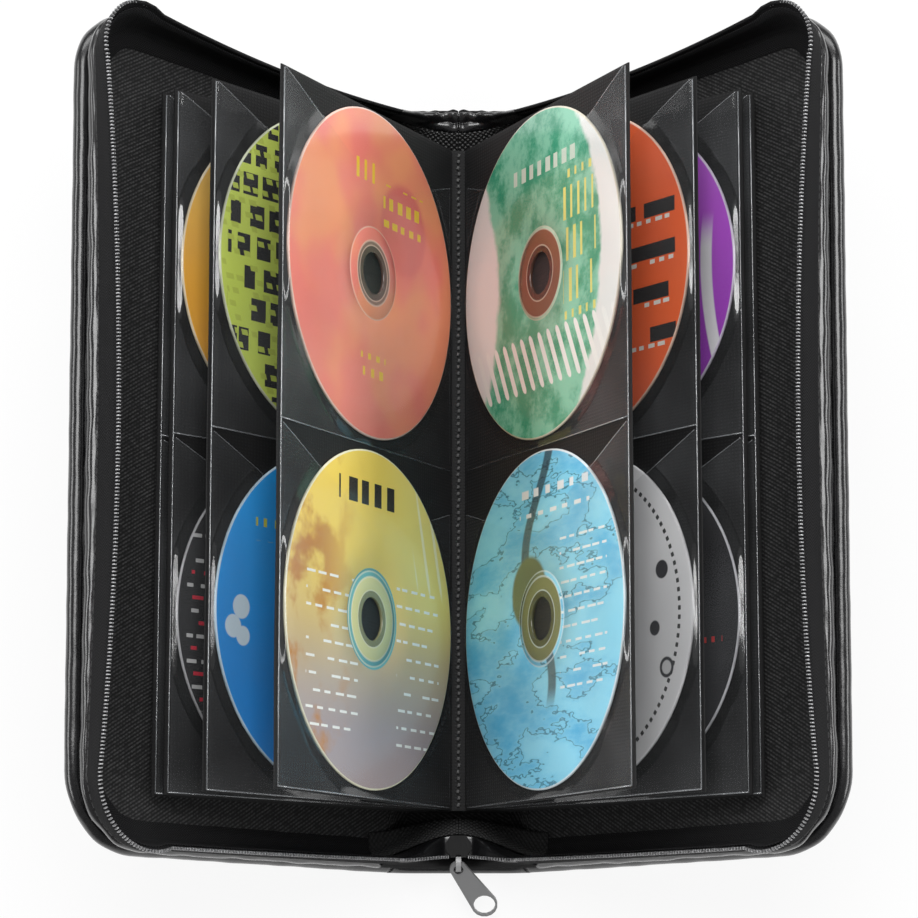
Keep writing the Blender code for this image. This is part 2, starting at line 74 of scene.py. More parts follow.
# Cover sizes, as in the solids
COVER_ANGLE = 45.0
COVER_WIDTH = 0.1559
FAR_WIDENING = 0.0021
FAR_FLARE = 0.0077
NEAR_TUCK = 0.0015
FAR_RADIUS = 0.023
NEAR_RADIUS = 0.030
PANEL_HALF = 0.0025
ROLL_RADIUS = 0.003
ROLL_CENTRE = 0.0005
EDGE_MIDDLE = 0.003
EDGE_START = 0.0056
WALL_START = 0.018
WALL_BASE = 0.0038
RIM_TOP = 0.0222
LINING_TOP = 0.0036

# How far the rim leans in over the wall's foot, as in the solids
FAR_END_LEAN = (0.0040, 0.0056, 0.0005)
FAR_CORNER_LEAN = -0.0075
SIDE_LEAN = (-0.0057, 0.0014, -0.0045)
NEAR_CORNER_LEAN = -0.0062
NEAR_END_LEAN = (-0.0010, -0.0005, 0.0006)

# Page and disc sizes, as in the solids
PAGE_WIDTH = 0.126
PAGE_FACE = 0.0006
LEFT_PAGE_ANGLES = (62.5, 51.1, 44.8, 44.4)
RIGHT_PAGE_ANGLES = (63.8, 52.9, 44.9, 44.5)
PAGES_WITH_DISCS = 3
DISC_RADIUS = 0.060
DISC_REST = 0.001
DISC_HOLE_RADIUS = 0.0075
DISC_BASE = 0.0009
DISC_TOP = 0.0021
FILM_TOP = 0.0026
FILM_MARGIN = 0.0019
NOTCH_CENTRE = 0.059
NOTCH_DEPTH = 0.031
NOTCH_SPINE_DROP = 0.015


def tenths(*points):
    """Points given in tenths of a millimetre, as metres."""
    return tuple((first / 10000, second / 10000) for first, second in points)


# Sections round a cover's edge, as (depth, height) points
WALL_SECTION = tenths((34, 30), (32, 44), (31, 56), (19, 62), (12, 72), (10, 84), (12, 96),
                      (18, 104), (26, 108), (27, 117), (42, 118), (45, 80), (43, 36))
TAPE_SECTION = tenths((25, 112), (22, 118), (21, 150), (23, 190), (26, 204), (34, 204), (39, 190),
                      (41, 150), (40, 110))
INNER_SECTION = tenths((43, 188), (47, 140), (50, 90), (58, 56), (78, 42), (120, 38))

# The spine's end gathers: (v, z) at the middle and (v, w) where a cover's wall begins
GATHER_END_U = 0.0188
SADDLE_Z = 0.0132
FAR_GATHER = tenths((1270, 64), (1290, 82), (1310, 112), (1328, 141), (1340, 158), (1354, 170),
                    (1368, 169), (1376, 157), (1385, 170), (1398, 182), (1412, 181), (1426, 166),
                    (1434, 138), (1438, 104), (1439, 74), (1436, 52))
FAR_WALL = tenths((1305, 37), (1350, 39), (1376, 44), (1388, 58), (1391, 90), (1387, 120),
                  (1382, 150), (1377, 185), (1375, 202), (1380, 212), (1390, 200), (1402, 150),
                  (1408, 118), (1429, 85), (1426, 55), (1418, 36))
NEAR_GATHER = tenths((1250, 64), (1272, 74), (1290, 98), (1304, 124), (1315, 144), (1324, 158),
                     (1336, 168), (1350, 173), (1366, 176), (1382, 176), (1400, 172), (1416, 158),
                     (1429, 134), (1437, 100), (1438, 74), (1434, 52))
NEAR_WALL = tenths((1305, 37), (1355, 39), (1383, 44), (1395, 58), (1402, 90), (1405, 120),
                   (1405, 150), (1406, 185), (1407, 202), (1414, 212), (1423, 200), (1425, 150),
                   (1426, 118), (1439, 85), (1433, 55), (1419, 36))

# Teeth, stitches and thin pieces
TOOTH_PITCH = 0.00125
TOOTH_HALVES = (TOOTH_PITCH * 0.18, 0.00056, 0.00060)
TOOTH_MIDDLE = 0.0212
STITCH_PITCH = 0.0024
TOPSTITCH_PITCH = 0.0030
SKIN_THICKNESS = 0.0005
LINER_THICKNESS = 0.0004
CORD_RADIUS = 0.0007
NEAR_CORD_RADIUS = 0.0006
WELD_RADIUS = 0.00026
MOUTH_RADIUS = 0.00016
METAL_ROUNDING = 0.00028
SUNK_FROM = 0.75
SUNK_OVER = 0.6
SUNK_DROP = 0.0022
WELD_REACH = 0.00001
SPINE_PAD_HALF = 0.0192
SPINE_PAD_END_ROOM = 0.0055
SPINE_LINING_HALF = (0.0189, 0.1282)
COVER_STEPS = (30, 48)
SPINE_STEPS = (16, 48)
FOLD_RING = 0.0024
SLIDER_FRONT = (-0.1400, -0.1396)
NEAR_CHAIN_END = (0.0030, -0.1397, 0.0166)

# Cloth simulation of the padded covers
PAD_PRESSURE = 4.0
PAD_FRAMES = 20
PAD_MOVE = 0.0006

# Camera and light
CAMERA_TILT = 10.0
CAMERA_DISTANCE = 1.226
CAMERA_AIM = (0.0002, 0.0108, 0.0)
CAMERA_LENS = 127.1
LIGHT_AIM = (0.0, 0.0, 0.05)
LAMPS = (("overhead", (0.0, 0.45, 1.50), (0.8, 0.8), 13.0),
         ("left_strip", (-1.15, -0.05, 0.70), (1.5, 0.34), 8.5),
         ("right_strip", (1.15, -0.05, 0.70), (1.5, 0.34), 8.5),
         ("back_strip", (0.0, 1.15, 0.85), (1.3, 0.34), 6.5))
WORLD_LIGHT = 0.20
FLOOR_REACH = 6.0
FLOOR_DROP = 0.0002


# Shader graphs


class Graph:
    """A material's node graph, with short calls for the nodes used here."""

    def __init__(self, name):
        self.material = bpy.data.materials.new(name)
        self.material.use_nodes = True
        self.nodes = self.material.node_tree.nodes
        self.links = self.material.node_tree.links
        self.shader = self.nodes["Principled BSDF"]
        coordinates = self.nodes.new("ShaderNodeTexCoord")
        self.place, self.uv = coordinates.outputs["Object"], coordinates.outputs["UV"]

    def feed(self, socket, value):
        if isinstance(value, bpy.types.NodeSocket):
            self.links.new(value, socket)
        elif isinstance(value, tuple) and len(value) == 3 and socket.type == "RGBA":
            socket.default_value = (*value, 1.0)
        else:
            socket.default_value = value

    def set(self, **inputs):
        names = {"colour": "Base Color", "roughness": "Roughness", "metallic": "Metallic",
                 "alpha": "Alpha", "ior": "IOR", "specular": "Specular IOR Level",
                 "sheen": "Sheen Weight", "coat": "Coat Weight", "normal": "Normal",
                 "sheen_roughness": "Sheen Roughness", "coat_roughness": "Coat Roughness"}
        for key, value in inputs.items():
            self.feed(self.shader.inputs[names[key]], value)
        return self.material

    def math(self, operation, first, second=0.0, third=0.0):
        node = self.nodes.new("ShaderNodeMath")
        node.operation = operation
        for socket, value in zip(node.inputs, (first, second, third)):
            self.feed(socket, value)
        return node.outputs[0]

    def add(self, first, second):
        return self.math("ADD", first, second)

    def less(self, first, second):
        return self.math("SUBTRACT", first, second)

    def times(self, first, second):
        return self.math("MULTIPLY", first, second)

    def gap(self, first, second):
        return self.math("ABSOLUTE", self.less(first, second))

    def length(self, x, y):
        return self.math("SQRT", self.add(self.times(x, x), self.times(y, y)))

    def ramp(self, value, low, high, out_low=0.0, out_high=1.0):
        """Map a value smoothly from low..high to out_low..out_high."""
        node = self.nodes.new("ShaderNodeMapRange")
        node.interpolation_type = "SMOOTHSTEP"
        for socket, item in zip(node.inputs, (value, low, high, out_low, out_high)):
            self.feed(socket, item)
        return node.outputs[0]

    def below(self, value, low, high):
        """1 up to low, falling smoothly to 0 at high."""
        return self.ramp(value, low, high, 1.0, 0.0)

    def mix(self, share, first, second):
        node = self.nodes.new("ShaderNodeMix")
        node.data_type = "RGBA"
        self.feed(node.inputs[0], share)
        self.feed(node.inputs[6], first)
        self.feed(node.inputs[7], second)
        return node.outputs[2]

    def split(self, vector):
        node = self.nodes.new("ShaderNodeSeparateXYZ")
        self.feed(node.inputs[0], vector)
        return node.outputs[0], node.outputs[1], node.outputs[2]

    def stretch(self, vector, scale):
        node = self.nodes.new("ShaderNodeMapping")
        self.feed(node.inputs[0], vector)
        node.inputs["Scale"].default_value = scale
        return node.outputs[0]

    def noise(self, vector, scale, detail=3.0, roughness=0.5):
        node = self.nodes.new("ShaderNodeTexNoise")
        self.feed(node.inputs["Vector"], vector)
        node.inputs["Scale"].default_value = scale
        node.inputs["Detail"].default_value = detail
        node.inputs["Roughness"].default_value = roughness
        return node.outputs[0]

    def cells(self, vector, scale):
        node = self.nodes.new("ShaderNodeTexVoronoi")
        node.feature = "SMOOTH_F1"
        self.feed(node.inputs["Vector"], vector)
        node.inputs["Scale"].default_value = scale
        return node.outputs["Distance"]

    def bump(self, height, strength, distance, under=None):
        node = self.nodes.new("ShaderNodeBump")
        node.inputs["Strength"].default_value = strength
        node.inputs["Distance"].default_value = distance
        self.feed(node.inputs["Height"], height)
        if under is not None:
            self.feed(node.inputs["Normal"], under)
        return node.outputs[0]

    def wave(self, value, pitch, phase=0.0):
        """A sine of 0..1 along a length in metres."""
        turn = self.math("MULTIPLY_ADD", value, 2 * math.pi / pitch, phase)
        return self.math("MULTIPLY_ADD", self.math("SINE", turn), 0.5, 0.5)

    def box_mask(self, x, y, centre, half, soft=0.0003):
        """1 inside a rectangle, 0 outside it."""
        masks = []
        for value, middle, reach in zip((x, y), centre, half):
            masks.append(self.below(self.gap(value, middle), reach - soft, reach + soft))
        return self.times(*masks)

    def disc_mask(self, x, y, centre, radius, soft=0.0003):
        """1 inside a circle, 0 outside it."""
        away = self.length(self.less(x, centre[0]), self.less(y, centre[1]))
        return self.below(away, radius - soft, radius + soft)


def leatherette(name, gloss=0.30, pucker=0.22, grain_depth=0.16, coat=0.30):
    """Black grained leatherette: fine pebbles, soft wrinkles and a duller wear in random patches.
    """
    g = Graph(name)
    place = g.place
    pebbles = g.cells(place, 1500.0)
    fine = g.noise(place, 2600.0, 2.0)
    creases = g.noise(g.stretch(place, (1.0, 0.45, 1.0)), 95.0, 4.0, 0.6)
    wear = g.ramp(g.noise(place, 28.0, 4.0), 0.45, 0.75)
    grain = g.add(g.times(pebbles, 0.8), g.times(fine, 0.3))
    normal = g.bump(creases, pucker, 0.0012)
    normal = g.bump(grain, grain_depth, 0.00025, normal)
    shade = g.mix(wear, (0.0030, 0.0030, 0.0035), (0.0070, 0.0070, 0.0080))
    shade = g.mix(g.ramp(pebbles, 0.0, 0.7), shade, (0.011, 0.011, 0.012))
    rough = g.add(g.times(wear, 0.10), g.ramp(fine, 0.2, 0.8, gloss - 0.04, gloss + 0.06))
    return g.set(colour=shade, roughness=rough, normal=normal, specular=0.5, coat=coat,
                 coat_roughness=0.18)


def twill(name):
    """Black twill: diagonal ribs broken into a staggered lattice of dots by the cross threads."""
    g = Graph(name)
    place = g.uv
    x, y, _ = g.split(place)
    pitch = 0.00125
    wander = g.times(g.noise(place, 60.0, 2.0), 0.0010)
    across = g.add(g.add(g.times(x, 0.494), g.times(y, 0.87)), wander)
    along = g.less(g.times(y, 0.494), g.times(x, 0.87))
    ribs = g.wave(across, pitch, -math.pi / 2)
    row = g.math("FLOOR", g.math("DIVIDE", across, pitch))
    dots = g.wave(g.math("MULTIPLY_ADD", row, 0.00072, along), 0.00145)
    threads = g.wave(along, 0.00045)
    uneven = g.ramp(g.noise(place, 420.0, 2.0, 0.7), 0.30, 0.70, 0.35, 1.15)
    height = g.times(g.times(ribs, uneven), g.math("MULTIPLY_ADD", dots, 0.45, 0.55))
    height = g.add(height, g.times(threads, 0.12))
    lint = g.ramp(g.noise(place, 1900.0, 2.0), 0.62, 0.80)
    shade = g.mix(g.ramp(height, 0.10, 0.95), (0.0020, 0.0020, 0.0022), (0.052, 0.052, 0.053))
    shade = g.mix(g.times(lint, 0.20), shade, (0.09, 0.09, 0.09))
    normal = g.bump(height, 0.8, 0.00030)
    return g.set(colour=shade, roughness=0.88, normal=normal, sheen=0.05, sheen_roughness=0.5)


def tape_weave(name, tone=0.024):
    """Woven zip tape: a herringbone rib along the tape, with matt threads."""
    g = Graph(name)
    along, across, _ = g.split(g.uv)
    zigzag = g.math("PINGPONG", across, 0.0016)
    ribs = g.wave(g.add(along, g.times(zigzag, 1.4)), 0.0011)
    threads = g.wave(across, 0.00055)
    height = g.add(ribs, g.times(threads, 0.5))
    shade = g.mix(g.ramp(height, 0.2, 1.4), (0.003, 0.003, 0.0033), (tone, tone, tone * 1.06))
    return g.set(colour=shade, roughness=0.85, normal=g.bump(height, 0.8, 0.0003), specular=0.2)


def dotted_mesh(name):
    """Coarse knitted mesh at the spine's ends: a staggered grid of small pale knots, with painted
    light and shade.
    """
    g = Graph(name)
    x, y, _ = g.split(g.uv)
    pitch = 0.0021
    rows = g.times(g.wave(x, pitch), g.wave(y, pitch))
    offset = g.times(g.wave(x, pitch, math.pi), g.wave(y, pitch, math.pi))
    knots = g.math("MAXIMUM", rows, offset)
    fuzz = g.noise(g.uv, 1500.0, 2.0)
    side, end, _ = g.split(g.place)
    # Painted light and shade: the knots are drawn palest at the middle of the far end and darker
    # towards the sides and the near end, which lie in shade.
    painted_light_share = g.times(g.ramp(g.gap(side, 0.0), 0.009, 0.017, 1.0, 0.15),
                   g.ramp(end, -0.05, 0.05, 0.30, 1.0))
    shade = g.mix(g.times(g.ramp(knots, 0.42, 0.80), painted_light_share), (0.0040, 0.0040, 0.0043),
                  (0.25, 0.25, 0.25))
    shade = g.mix(g.times(fuzz, 0.3), shade, (0.02, 0.02, 0.02))
    height = g.add(g.times(fuzz, 0.3), knots)
    return g.set(colour=shade, roughness=0.85, normal=g.bump(height, 0.9, 0.0006), sheen=0.05)


def page_cloth(name):
    """Black non-woven page cloth: pressed dots in rows over short tangled fibres."""
    g = Graph(name)
    place = g.place
    x, y, z = g.split(place)
    dots = g.times(g.wave(g.add(x, z), 0.0016), g.wave(y, 0.0012))
    fibres = g.noise(g.stretch(place, (1.0, 3.0, 1.0)), 900.0, 4.0, 0.7)
    clouds = g.ramp(g.noise(place, 35.0, 3.0), 0.35, 0.7)
    height = g.add(g.times(dots, 0.7), g.times(fibres, 0.6))
    shade = g.mix(clouds, (0.0030, 0.0030, 0.0034), (0.0055, 0.0055, 0.0060))
    shade = g.mix(g.ramp(height, 0.5, 1.1), shade, (0.015, 0.015, 0.016))
    return g.set(colour=shade, roughness=0.78, normal=g.bump(height, 0.55, 0.00025))


def clear_film(name, haze=0.052, folds=True):
    """Clear soft vinyl: a faint uneven haze, with gloss where it bends down beside a disc."""
    g = Graph(name)
    place = g.place
    waves = g.noise(g.stretch(place, (1.0, 0.35, 1.0)), 30.0, 2.0, 0.4)
    clouds = g.ramp(g.noise(place, 16.0, 2.0), 0.35, 0.70, 0.45, 1.70)
    scuffs = g.noise(g.stretch(place, (1.0, 0.12, 1.0)), 190.0, 2.0, 0.6)
    x, y, _ = g.split(place)
    x = g.gap(x, 0.0)
    out = g.ramp(x, 0.020, 0.115, 0.30, 1.50)
    facing = g.nodes.new("ShaderNodeLayerWeight")
    facing.inputs["Blend"].default_value = 0.5
    grazing = g.ramp(facing.outputs["Facing"], 0.62, 0.98, 0.0, 0.50)
    alpha = g.times(g.times(clouds, out), haze)
    alpha = g.add(alpha, g.add(grazing, g.ramp(scuffs, 0.60, 0.80, 0.0, 0.02)))
    colour = (0.46, 0.48, 0.50)
    if folds:
        x = g.less(x, PAGE_WIDTH / 2)
        aways = [g.length(x, g.less(y, pocket_middle(level) + DISC_REST)) for level in LEVELS]
        away = g.gap(g.math("MINIMUM", *aways), DISC_RADIUS + FOLD_RING)
        fold = g.below(away, 0.0012, 0.0028)
        fold = g.times(fold, g.ramp(g.noise(place, 55.0, 2.0), 0.30, 0.60, 0.25, 1.0))
        alpha = g.add(alpha, g.times(fold, 0.42))
        colour = g.mix(g.ramp(fold, 0.0, 0.3), colour, (0.065, 0.068, 0.070))
    rough = g.ramp(scuffs, 0.5, 0.8, 0.10, 0.24)
    return g.set(colour=colour, roughness=rough, alpha=alpha, normal=g.bump(waves, 0.6, 0.004),
                 ior=1.9, specular=1.0)


def thread(name, pale):
    """Twisted sewing thread."""
    g = Graph(name)
    x, y, z = g.split(g.place)
    twist = g.wave(g.add(g.add(x, y), z), 0.0006)
    dark = tuple(0.45 * part for part in pale)
    return g.set(colour=g.mix(twist, dark, pale), roughness=0.7,
                 normal=g.bump(twist, 0.4, 0.0001), sheen=0.1)


def gunmetal(name, tone, rough, bridge, metallic):
    """Dark plated metal: fine brushing and rubbed spots, with a paler tone past the slider."""
    g = Graph(name)
    place = g.place
    brushed = g.noise(g.stretch(place, (1.0, 0.08, 1.0)), 4200.0, 3.0)
    rubbed = g.ramp(g.noise(place, 420.0, 3.0), 0.45, 0.7)
    low, high = tone * 0.75, tone * 1.35
    shade = g.mix(rubbed, (low, low, low * 1.04), (high, high, high * 1.02))
    shade = g.mix(g.below(g.split(place)[1], *SLIDER_FRONT), shade,
                  (bridge, bridge, bridge * 1.01))
    roughness = g.ramp(brushed, 0.2, 0.8, rough - 0.05, rough + 0.12)
    return g.set(colour=shade, metallic=metallic, roughness=roughness, specular=0.3,
                 normal=g.bump(brushed, 0.12, 0.0001))


def tooth_metal(name):
    """Dark zip teeth flecked with pale grain, a painted highlight that stands in for their glints.
    """
    g = Graph(name)
    place = g.place
    grain = g.noise(place, 2400.0, 2.0)
    # Painted highlight: the pale share of the grain brightens the teeth to stand in for their
    # glints.
    shade = g.mix(g.ramp(grain, 0.35, 0.7), (0.16, 0.16, 0.165), (0.62, 0.62, 0.63))
    return g.set(colour=shade, metallic=0.40, roughness=0.34, normal=g.bump(grain, 0.2, 0.0001))


def floor_paint(name):
    """Pale floor that reads as white to the camera and still takes a soft shadow."""
    g = Graph(name)
    speck = g.noise(g.place, 40.0, 2.0)
    shade = g.mix(g.times(speck, 0.1), (0.93, 0.93, 0.93), (0.90, 0.90, 0.90))
    g.set(colour=shade, roughness=0.9, specular=0.1)
    path = g.nodes.new("ShaderNodeLightPath")
    gloss = g.times(path.outputs["Is Glossy Ray"], 0.35)
    seen = g.math("MAXIMUM", path.outputs["Is Camera Ray"], gloss)
    seen = g.math("MAXIMUM", seen, path.outputs["Is Transmission Ray"])
    glow = g.nodes.new("ShaderNodeEmission")
    glow.inputs["Color"].default_value = (1.0, 1.0, 1.0, 1.0)
    blend = g.nodes.new("ShaderNodeMixShader")
    g.links.new(g.times(seen, 0.88), blend.inputs[0])
    g.links.new(g.shader.outputs[0], blend.inputs[1])
    g.links.new(glow.outputs[0], blend.inputs[2])
    output = g.nodes["Material Output"]
    g.links.new(blend.outputs[0], output.inputs["Surface"])
    return g.material


# Disc prints


class Print(Graph):
    """A disc's print: fields of colour and simple shapes, laid over one another."""

    def __init__(self, name):
        super().__init__(name)
        self.x, self.y, _ = self.split(self.place)
        self.away = self.length(self.x, self.y)
        self.colour = None

    def ground(self, share, first, second):
        self.colour = self.mix(share, first, second)

    def paint(self, mask, ink):
        self.colour = self.mix(mask, self.colour, ink)

    def dot(self, centre, radius, ink, soft=0.0003):
        self.paint(self.disc_mask(self.x, self.y, centre, radius, soft), ink)

    def marks(self, ink, pitch, fill, area, gaps=0.2, lean=0.0, lift=0.0):
        """Rows of short bars of uneven length inside an area ((x, y) centre, (x, y) half sizes)."""
        x = self.add(self.x, self.times(self.y, lean)) if lean else self.x
        y = self.add(self.y, lift) if lift else self.y
        row = self.math("FLOOR", self.math("DIVIDE", y, pitch[1]))
        slide = self.math("MULTIPLY_ADD", row, 0.37, 0.11)
        place = self.add(self.math("DIVIDE", x, pitch[0]), slide)
        chance = self.nodes.new("ShaderNodeTexWhiteNoise")
        chance.noise_dimensions = "2D"
        both = self.nodes.new("ShaderNodeCombineXYZ")
        self.feed(both.inputs[0], self.math("FLOOR", place))
        self.feed(both.inputs[1], row)
        self.feed(chance.inputs["Vector"], both.outputs[0])
        luck = chance.outputs["Value"]
        reach = self.math("MULTIPLY_ADD", luck, fill[0] * 0.5, fill[0] * 0.5)
        long = self.math("LESS_THAN", self.math("FRACT", place), reach)
        share = self.math("FRACT", self.math("DIVIDE", y, pitch[1]))
        tall = self.math("LESS_THAN", share, fill[1])
        keep = self.times(self.math("GREATER_THAN", luck, gaps), self.box_mask(x, y, *area))
        self.paint(self.times(self.times(long, tall), keep), ink)

    def finish(self, hub_colour, rim_colour, hub_radius=0.0175):
        """Close the print: hub rings, the moulded stacking ring, the clear rim and the gloss."""
        grain = self.noise(self.place, 3000.0, 2.0)
        self.paint(self.times(self.ramp(grain, 0.4, 0.7), 0.06), (1.0, 1.0, 1.0))
        self.paint(self.below(self.away, hub_radius - 0.0002, hub_radius + 0.0002), hub_colour)
        self.paint(self.below(self.away, 0.0098, 0.0102), tuple(0.35 * part for part in hub_colour))
        for ring, width in ((hub_radius, 0.0005), (0.0101, 0.00035), (0.0168, 0.0004)):
            line = self.below(self.gap(self.away, ring), width * 0.5, width)
            self.paint(self.times(line, 0.55), rim_colour)
        self.paint(self.ramp(self.away, 0.0592, 0.0595), rim_colour)
        return self.set(colour=self.colour, roughness=0.24, coat=0.35, coat_roughness=0.08,
                        specular=0.5)


def print_coral(g):
    yellow = (0.90, 0.55, 0.03)
    g.ground(g.ramp(g.noise(g.place, 24.0, 2.0), 0.42, 0.60), (0.92, 0.215, 0.170),
             (0.97, 0.330, 0.160))
    g.paint(g.ramp(g.y, -0.06, 0.03, 0.40, 0.0), (0.78, 0.22, 0.17))
    g.dot((0.022, 0.020), 0.017, (0.82, 0.17, 0.15), 0.002)
    g.marks(yellow, (0.0058, 0.0110), (0.42, 0.70), ((-0.006, 0.0365), (0.0080, 0.0040)), 0.0)
    g.marks(yellow, (0.0064, 0.0086), (0.62, 0.52), ((0.022, 0.0270), (0.0150, 0.0080)), 0.1)
    g.marks(yellow, (0.0060, 0.0080), (0.50, 0.62), ((0.0, -0.0340), (0.0090, 0.0042)), 0.0)
    return g.finish((0.26, 0.15, 0.12), (0.90, 0.62, 0.52), 0.0118)


def print_gold(g):
    cream = (0.92, 0.90, 0.84)
    g.ground(g.ramp(g.y, -0.045, 0.030), (0.42, 0.34, 0.34), (0.95, 0.68, 0.12))
    rust = g.ramp(g.noise(g.place, 34.0, 4.0, 0.6), 0.46, 0.60)
    g.paint(g.times(rust, g.below(g.x, -0.045, 0.000)), (0.56, 0.22, 0.03))
    pale = g.times(g.ramp(g.x, 0.0, 0.04), g.ramp(g.y, -0.012, 0.020))
    g.paint(g.times(pale, 0.75), (0.93, 0.80, 0.26))
    hatch = g.times(g.wave(g.add(g.x, g.times(g.y, 0.3)), 0.0090), pale)
    g.paint(g.times(g.ramp(hatch, 0.80, 0.97), 0.8), (0.96, 0.90, 0.62))
    g.marks((0.025, 0.020, 0.015), (0.0092, 0.0200), (0.72, 0.42),
            ((-0.004, 0.0440), (0.0200, 0.0050)), 0.0)
    g.marks(cream, (0.0078, 0.0058), (0.85, 0.16), ((-0.028, -0.0150), (0.0180, 0.0290)))
    g.marks(cream, (0.0070, 0.0062), (0.80, 0.16), ((0.034, -0.0150), (0.0160, 0.0290)))
    g.paint(g.times(g.ramp(g.away, 0.0148, 0.0150), g.below(g.away, 0.0178, 0.0180)),
            (0.14, 0.42, 0.42))
    return g.finish((0.72, 0.70, 0.34), (0.88, 0.84, 0.62), 0.0148)


def print_lime(g):
    g.ground(g.noise(g.place, 20.0), (0.64, 0.80, 0.08), (0.76, 0.88, 0.16))
    g.marks((0.010, 0.010, 0.010), (0.0100, 0.0112), (0.92, 0.72), ((0.0, 0.0), (0.056, 0.056)),
            0.06)
    g.marks((0.58, 0.69, 0.09), (0.0052, 0.0047), (0.75, 0.42), ((0.0, 0.0), (0.060, 0.060)),
            0.35, lean=0.3)
    return g.finish((0.45, 0.46, 0.40), (0.78, 0.82, 0.60))


def print_blue(g):
    g.ground(g.ramp(g.y, -0.05, 0.05), (0.004, 0.27, 0.80), (0.010, 0.38, 0.95))
    for centre, radius in (((-0.047, 0.001), 0.0042), ((-0.051, -0.006), 0.0040),
                           ((-0.046, -0.009), 0.0034)):
        g.dot(centre, radius, (0.68, 0.83, 0.93))
    g.marks((0.62, 0.64, 0.08), (0.0058, 0.0100), (0.55, 0.50),
            ((-0.034, 0.0290), (0.0060, 0.0040)), 0.0)
    return g.finish((0.35, 0.45, 0.55), (0.62, 0.80, 0.93))


def print_orange(g):
    g.ground(g.ramp(g.away, 0.02, 0.058), (1.0, 0.62, 0.05), (1.0, 0.46, 0.02))
    g.paint(g.ramp(g.y, -0.02, 0.05, 0.0, 0.5), (1.0, 0.78, 0.22))
    ring = g.below(g.gap(g.away, 0.040), 0.0005, 0.0009)
    g.paint(g.times(ring, 0.8), (0.10, 0.05, 0.01))
    return g.finish((0.55, 0.40, 0.25), (0.98, 0.84, 0.58))


def print_black_rows(g):
    g.ground(g.noise(g.place, 30.0), (0.010, 0.010, 0.011), (0.022, 0.022, 0.024))
    g.marks((0.58, 0.58, 0.58), (0.0066, 0.0088), (0.80, 0.15), ((-0.047, 0.0), (0.0085, 0.0340)))
    g.marks((0.66, 0.02, 0.05), (0.0082, 0.0088), (0.75, 0.15), ((-0.045, 0.0), (0.0085, 0.0340)),
            lift=0.0042)
    return g.finish((0.10, 0.10, 0.11), (0.55, 0.55, 0.57))


def print_mint(g):
    torn = g.noise(g.place, 60.0, 5.0, 0.65)
    g.ground(g.ramp(torn, 0.40, 0.60), (0.030, 0.36, 0.20), (0.24, 0.66, 0.46))
    bend = g.add(g.x, g.times(g.times(g.y, g.y), 6.0))
    g.paint(g.below(g.math("MULTIPLY_ADD", torn, 0.012, bend), -0.028, -0.024), (0.86, 0.89, 0.87))
    g.paint(g.ramp(g.math("MULTIPLY_ADD", torn, 0.010, g.less(bend, 0.045)), 0.004, 0.007),
            (0.84, 0.88, 0.85))
    claws = g.times(g.wave(g.add(g.x, g.times(g.y, 0.5)), 0.0068),
                    g.times(g.ramp(g.y, -0.045, -0.040), g.below(g.y, -0.024, -0.018)))
    g.paint(g.ramp(claws, 0.55, 0.70), (0.90, 0.94, 0.90))
    g.marks((0.78, 0.78, 0.20), (0.0052, 0.0150), (0.42, 0.80),
            ((0.030, 0.0060), (0.0120, 0.0270)), 0.15)
    g.marks((0.66, 0.80, 0.68), (0.0062, 0.0120), (0.66, 0.45),
            ((0.004, 0.0400), (0.0240, 0.0060)), 0.0)
    return g.finish((0.22, 0.085, 0.045), (0.80, 0.76, 0.62), 0.0160)


def print_sky(g):
    swirl = g.noise(g.stretch(g.place, (0.35, 1.0, 1.0)), 75.0, 4.0, 0.6)
    g.ground(g.ramp(swirl, 0.30, 0.62), (0.085, 0.50, 0.84), (0.30, 0.78, 1.0))
    g.paint(g.times(g.below(g.gap(swirl, 0.50), 0.003, 0.012), 0.75), (0.02, 0.14, 0.22))
    bend = g.add(g.x, g.times(g.math("SINE", g.times(g.y, 70.0)), 0.010))
    band = g.below(g.math("ABSOLUTE", g.add(bend, 0.002)), 0.0022, 0.0036)
    g.paint(g.times(g.times(band, g.ramp(g.y, -0.034, -0.024)), 0.85), (0.025, 0.045, 0.055))
    g.dot((-0.009, 0.010), 0.0130, (0.15, 0.19, 0.08), 0.0010)
    g.marks((0.86, 0.93, 0.96), (0.0070, 0.0052), (0.88, 0.17),
            ((0.031, 0.0010), (0.0170, 0.0300)), 0.1)
    g.marks((0.86, 0.92, 0.95), (0.0090, 0.0110), (0.60, 0.50),
            ((0.010, 0.0420), (0.0260, 0.0050)), 0.0)
    return g.finish((0.20, 0.21, 0.08), (0.78, 0.90, 0.95), 0.0150)


def print_red(g):
    black = (0.015, 0.012, 0.012)
    g.ground(g.noise(g.place, 26.0), (0.98, 0.110, 0.018), (1.0, 0.165, 0.032))
    g.marks(black, (0.0240, 0.0150), (1.00, 0.36), ((0.038, -0.0050), (0.0150, 0.0290)), 0.0)
    g.marks((0.92, 0.86, 0.80), (0.0050, 0.0150), (0.80, 0.10),
            ((0.038, -0.0050), (0.0140, 0.0290)), lift=0.0020)
    g.dot((0.020, 0.048), 0.008, black)
    return g.finish((0.50, 0.40, 0.38), (0.95, 0.66, 0.52))


def print_grey(g):
    g.ground(g.ramp(g.y, -0.05, 0.05), (0.74, 0.74, 0.75), (0.90, 0.90, 0.91))
    band = g.times(g.below(g.gap(g.away, 0.0530), 0.0006, 0.0009),
                   g.wave(g.math("ARCTAN2", g.x, g.y), 0.06))
    g.paint(g.ramp(band, 0.4, 0.6), (0.05, 0.05, 0.05))
    for centre, radius in (((0.044, 0.014), 0.0032), ((0.040, -0.006), 0.0026),
                           ((0.046, -0.020), 0.0036)):
        g.dot(centre, radius, (0.03, 0.03, 0.035))
    g.dot((0.046, -0.020), 0.0024, (0.62, 0.62, 0.63))
    return g.finish((0.42, 0.42, 0.44), (0.88, 0.88, 0.90))


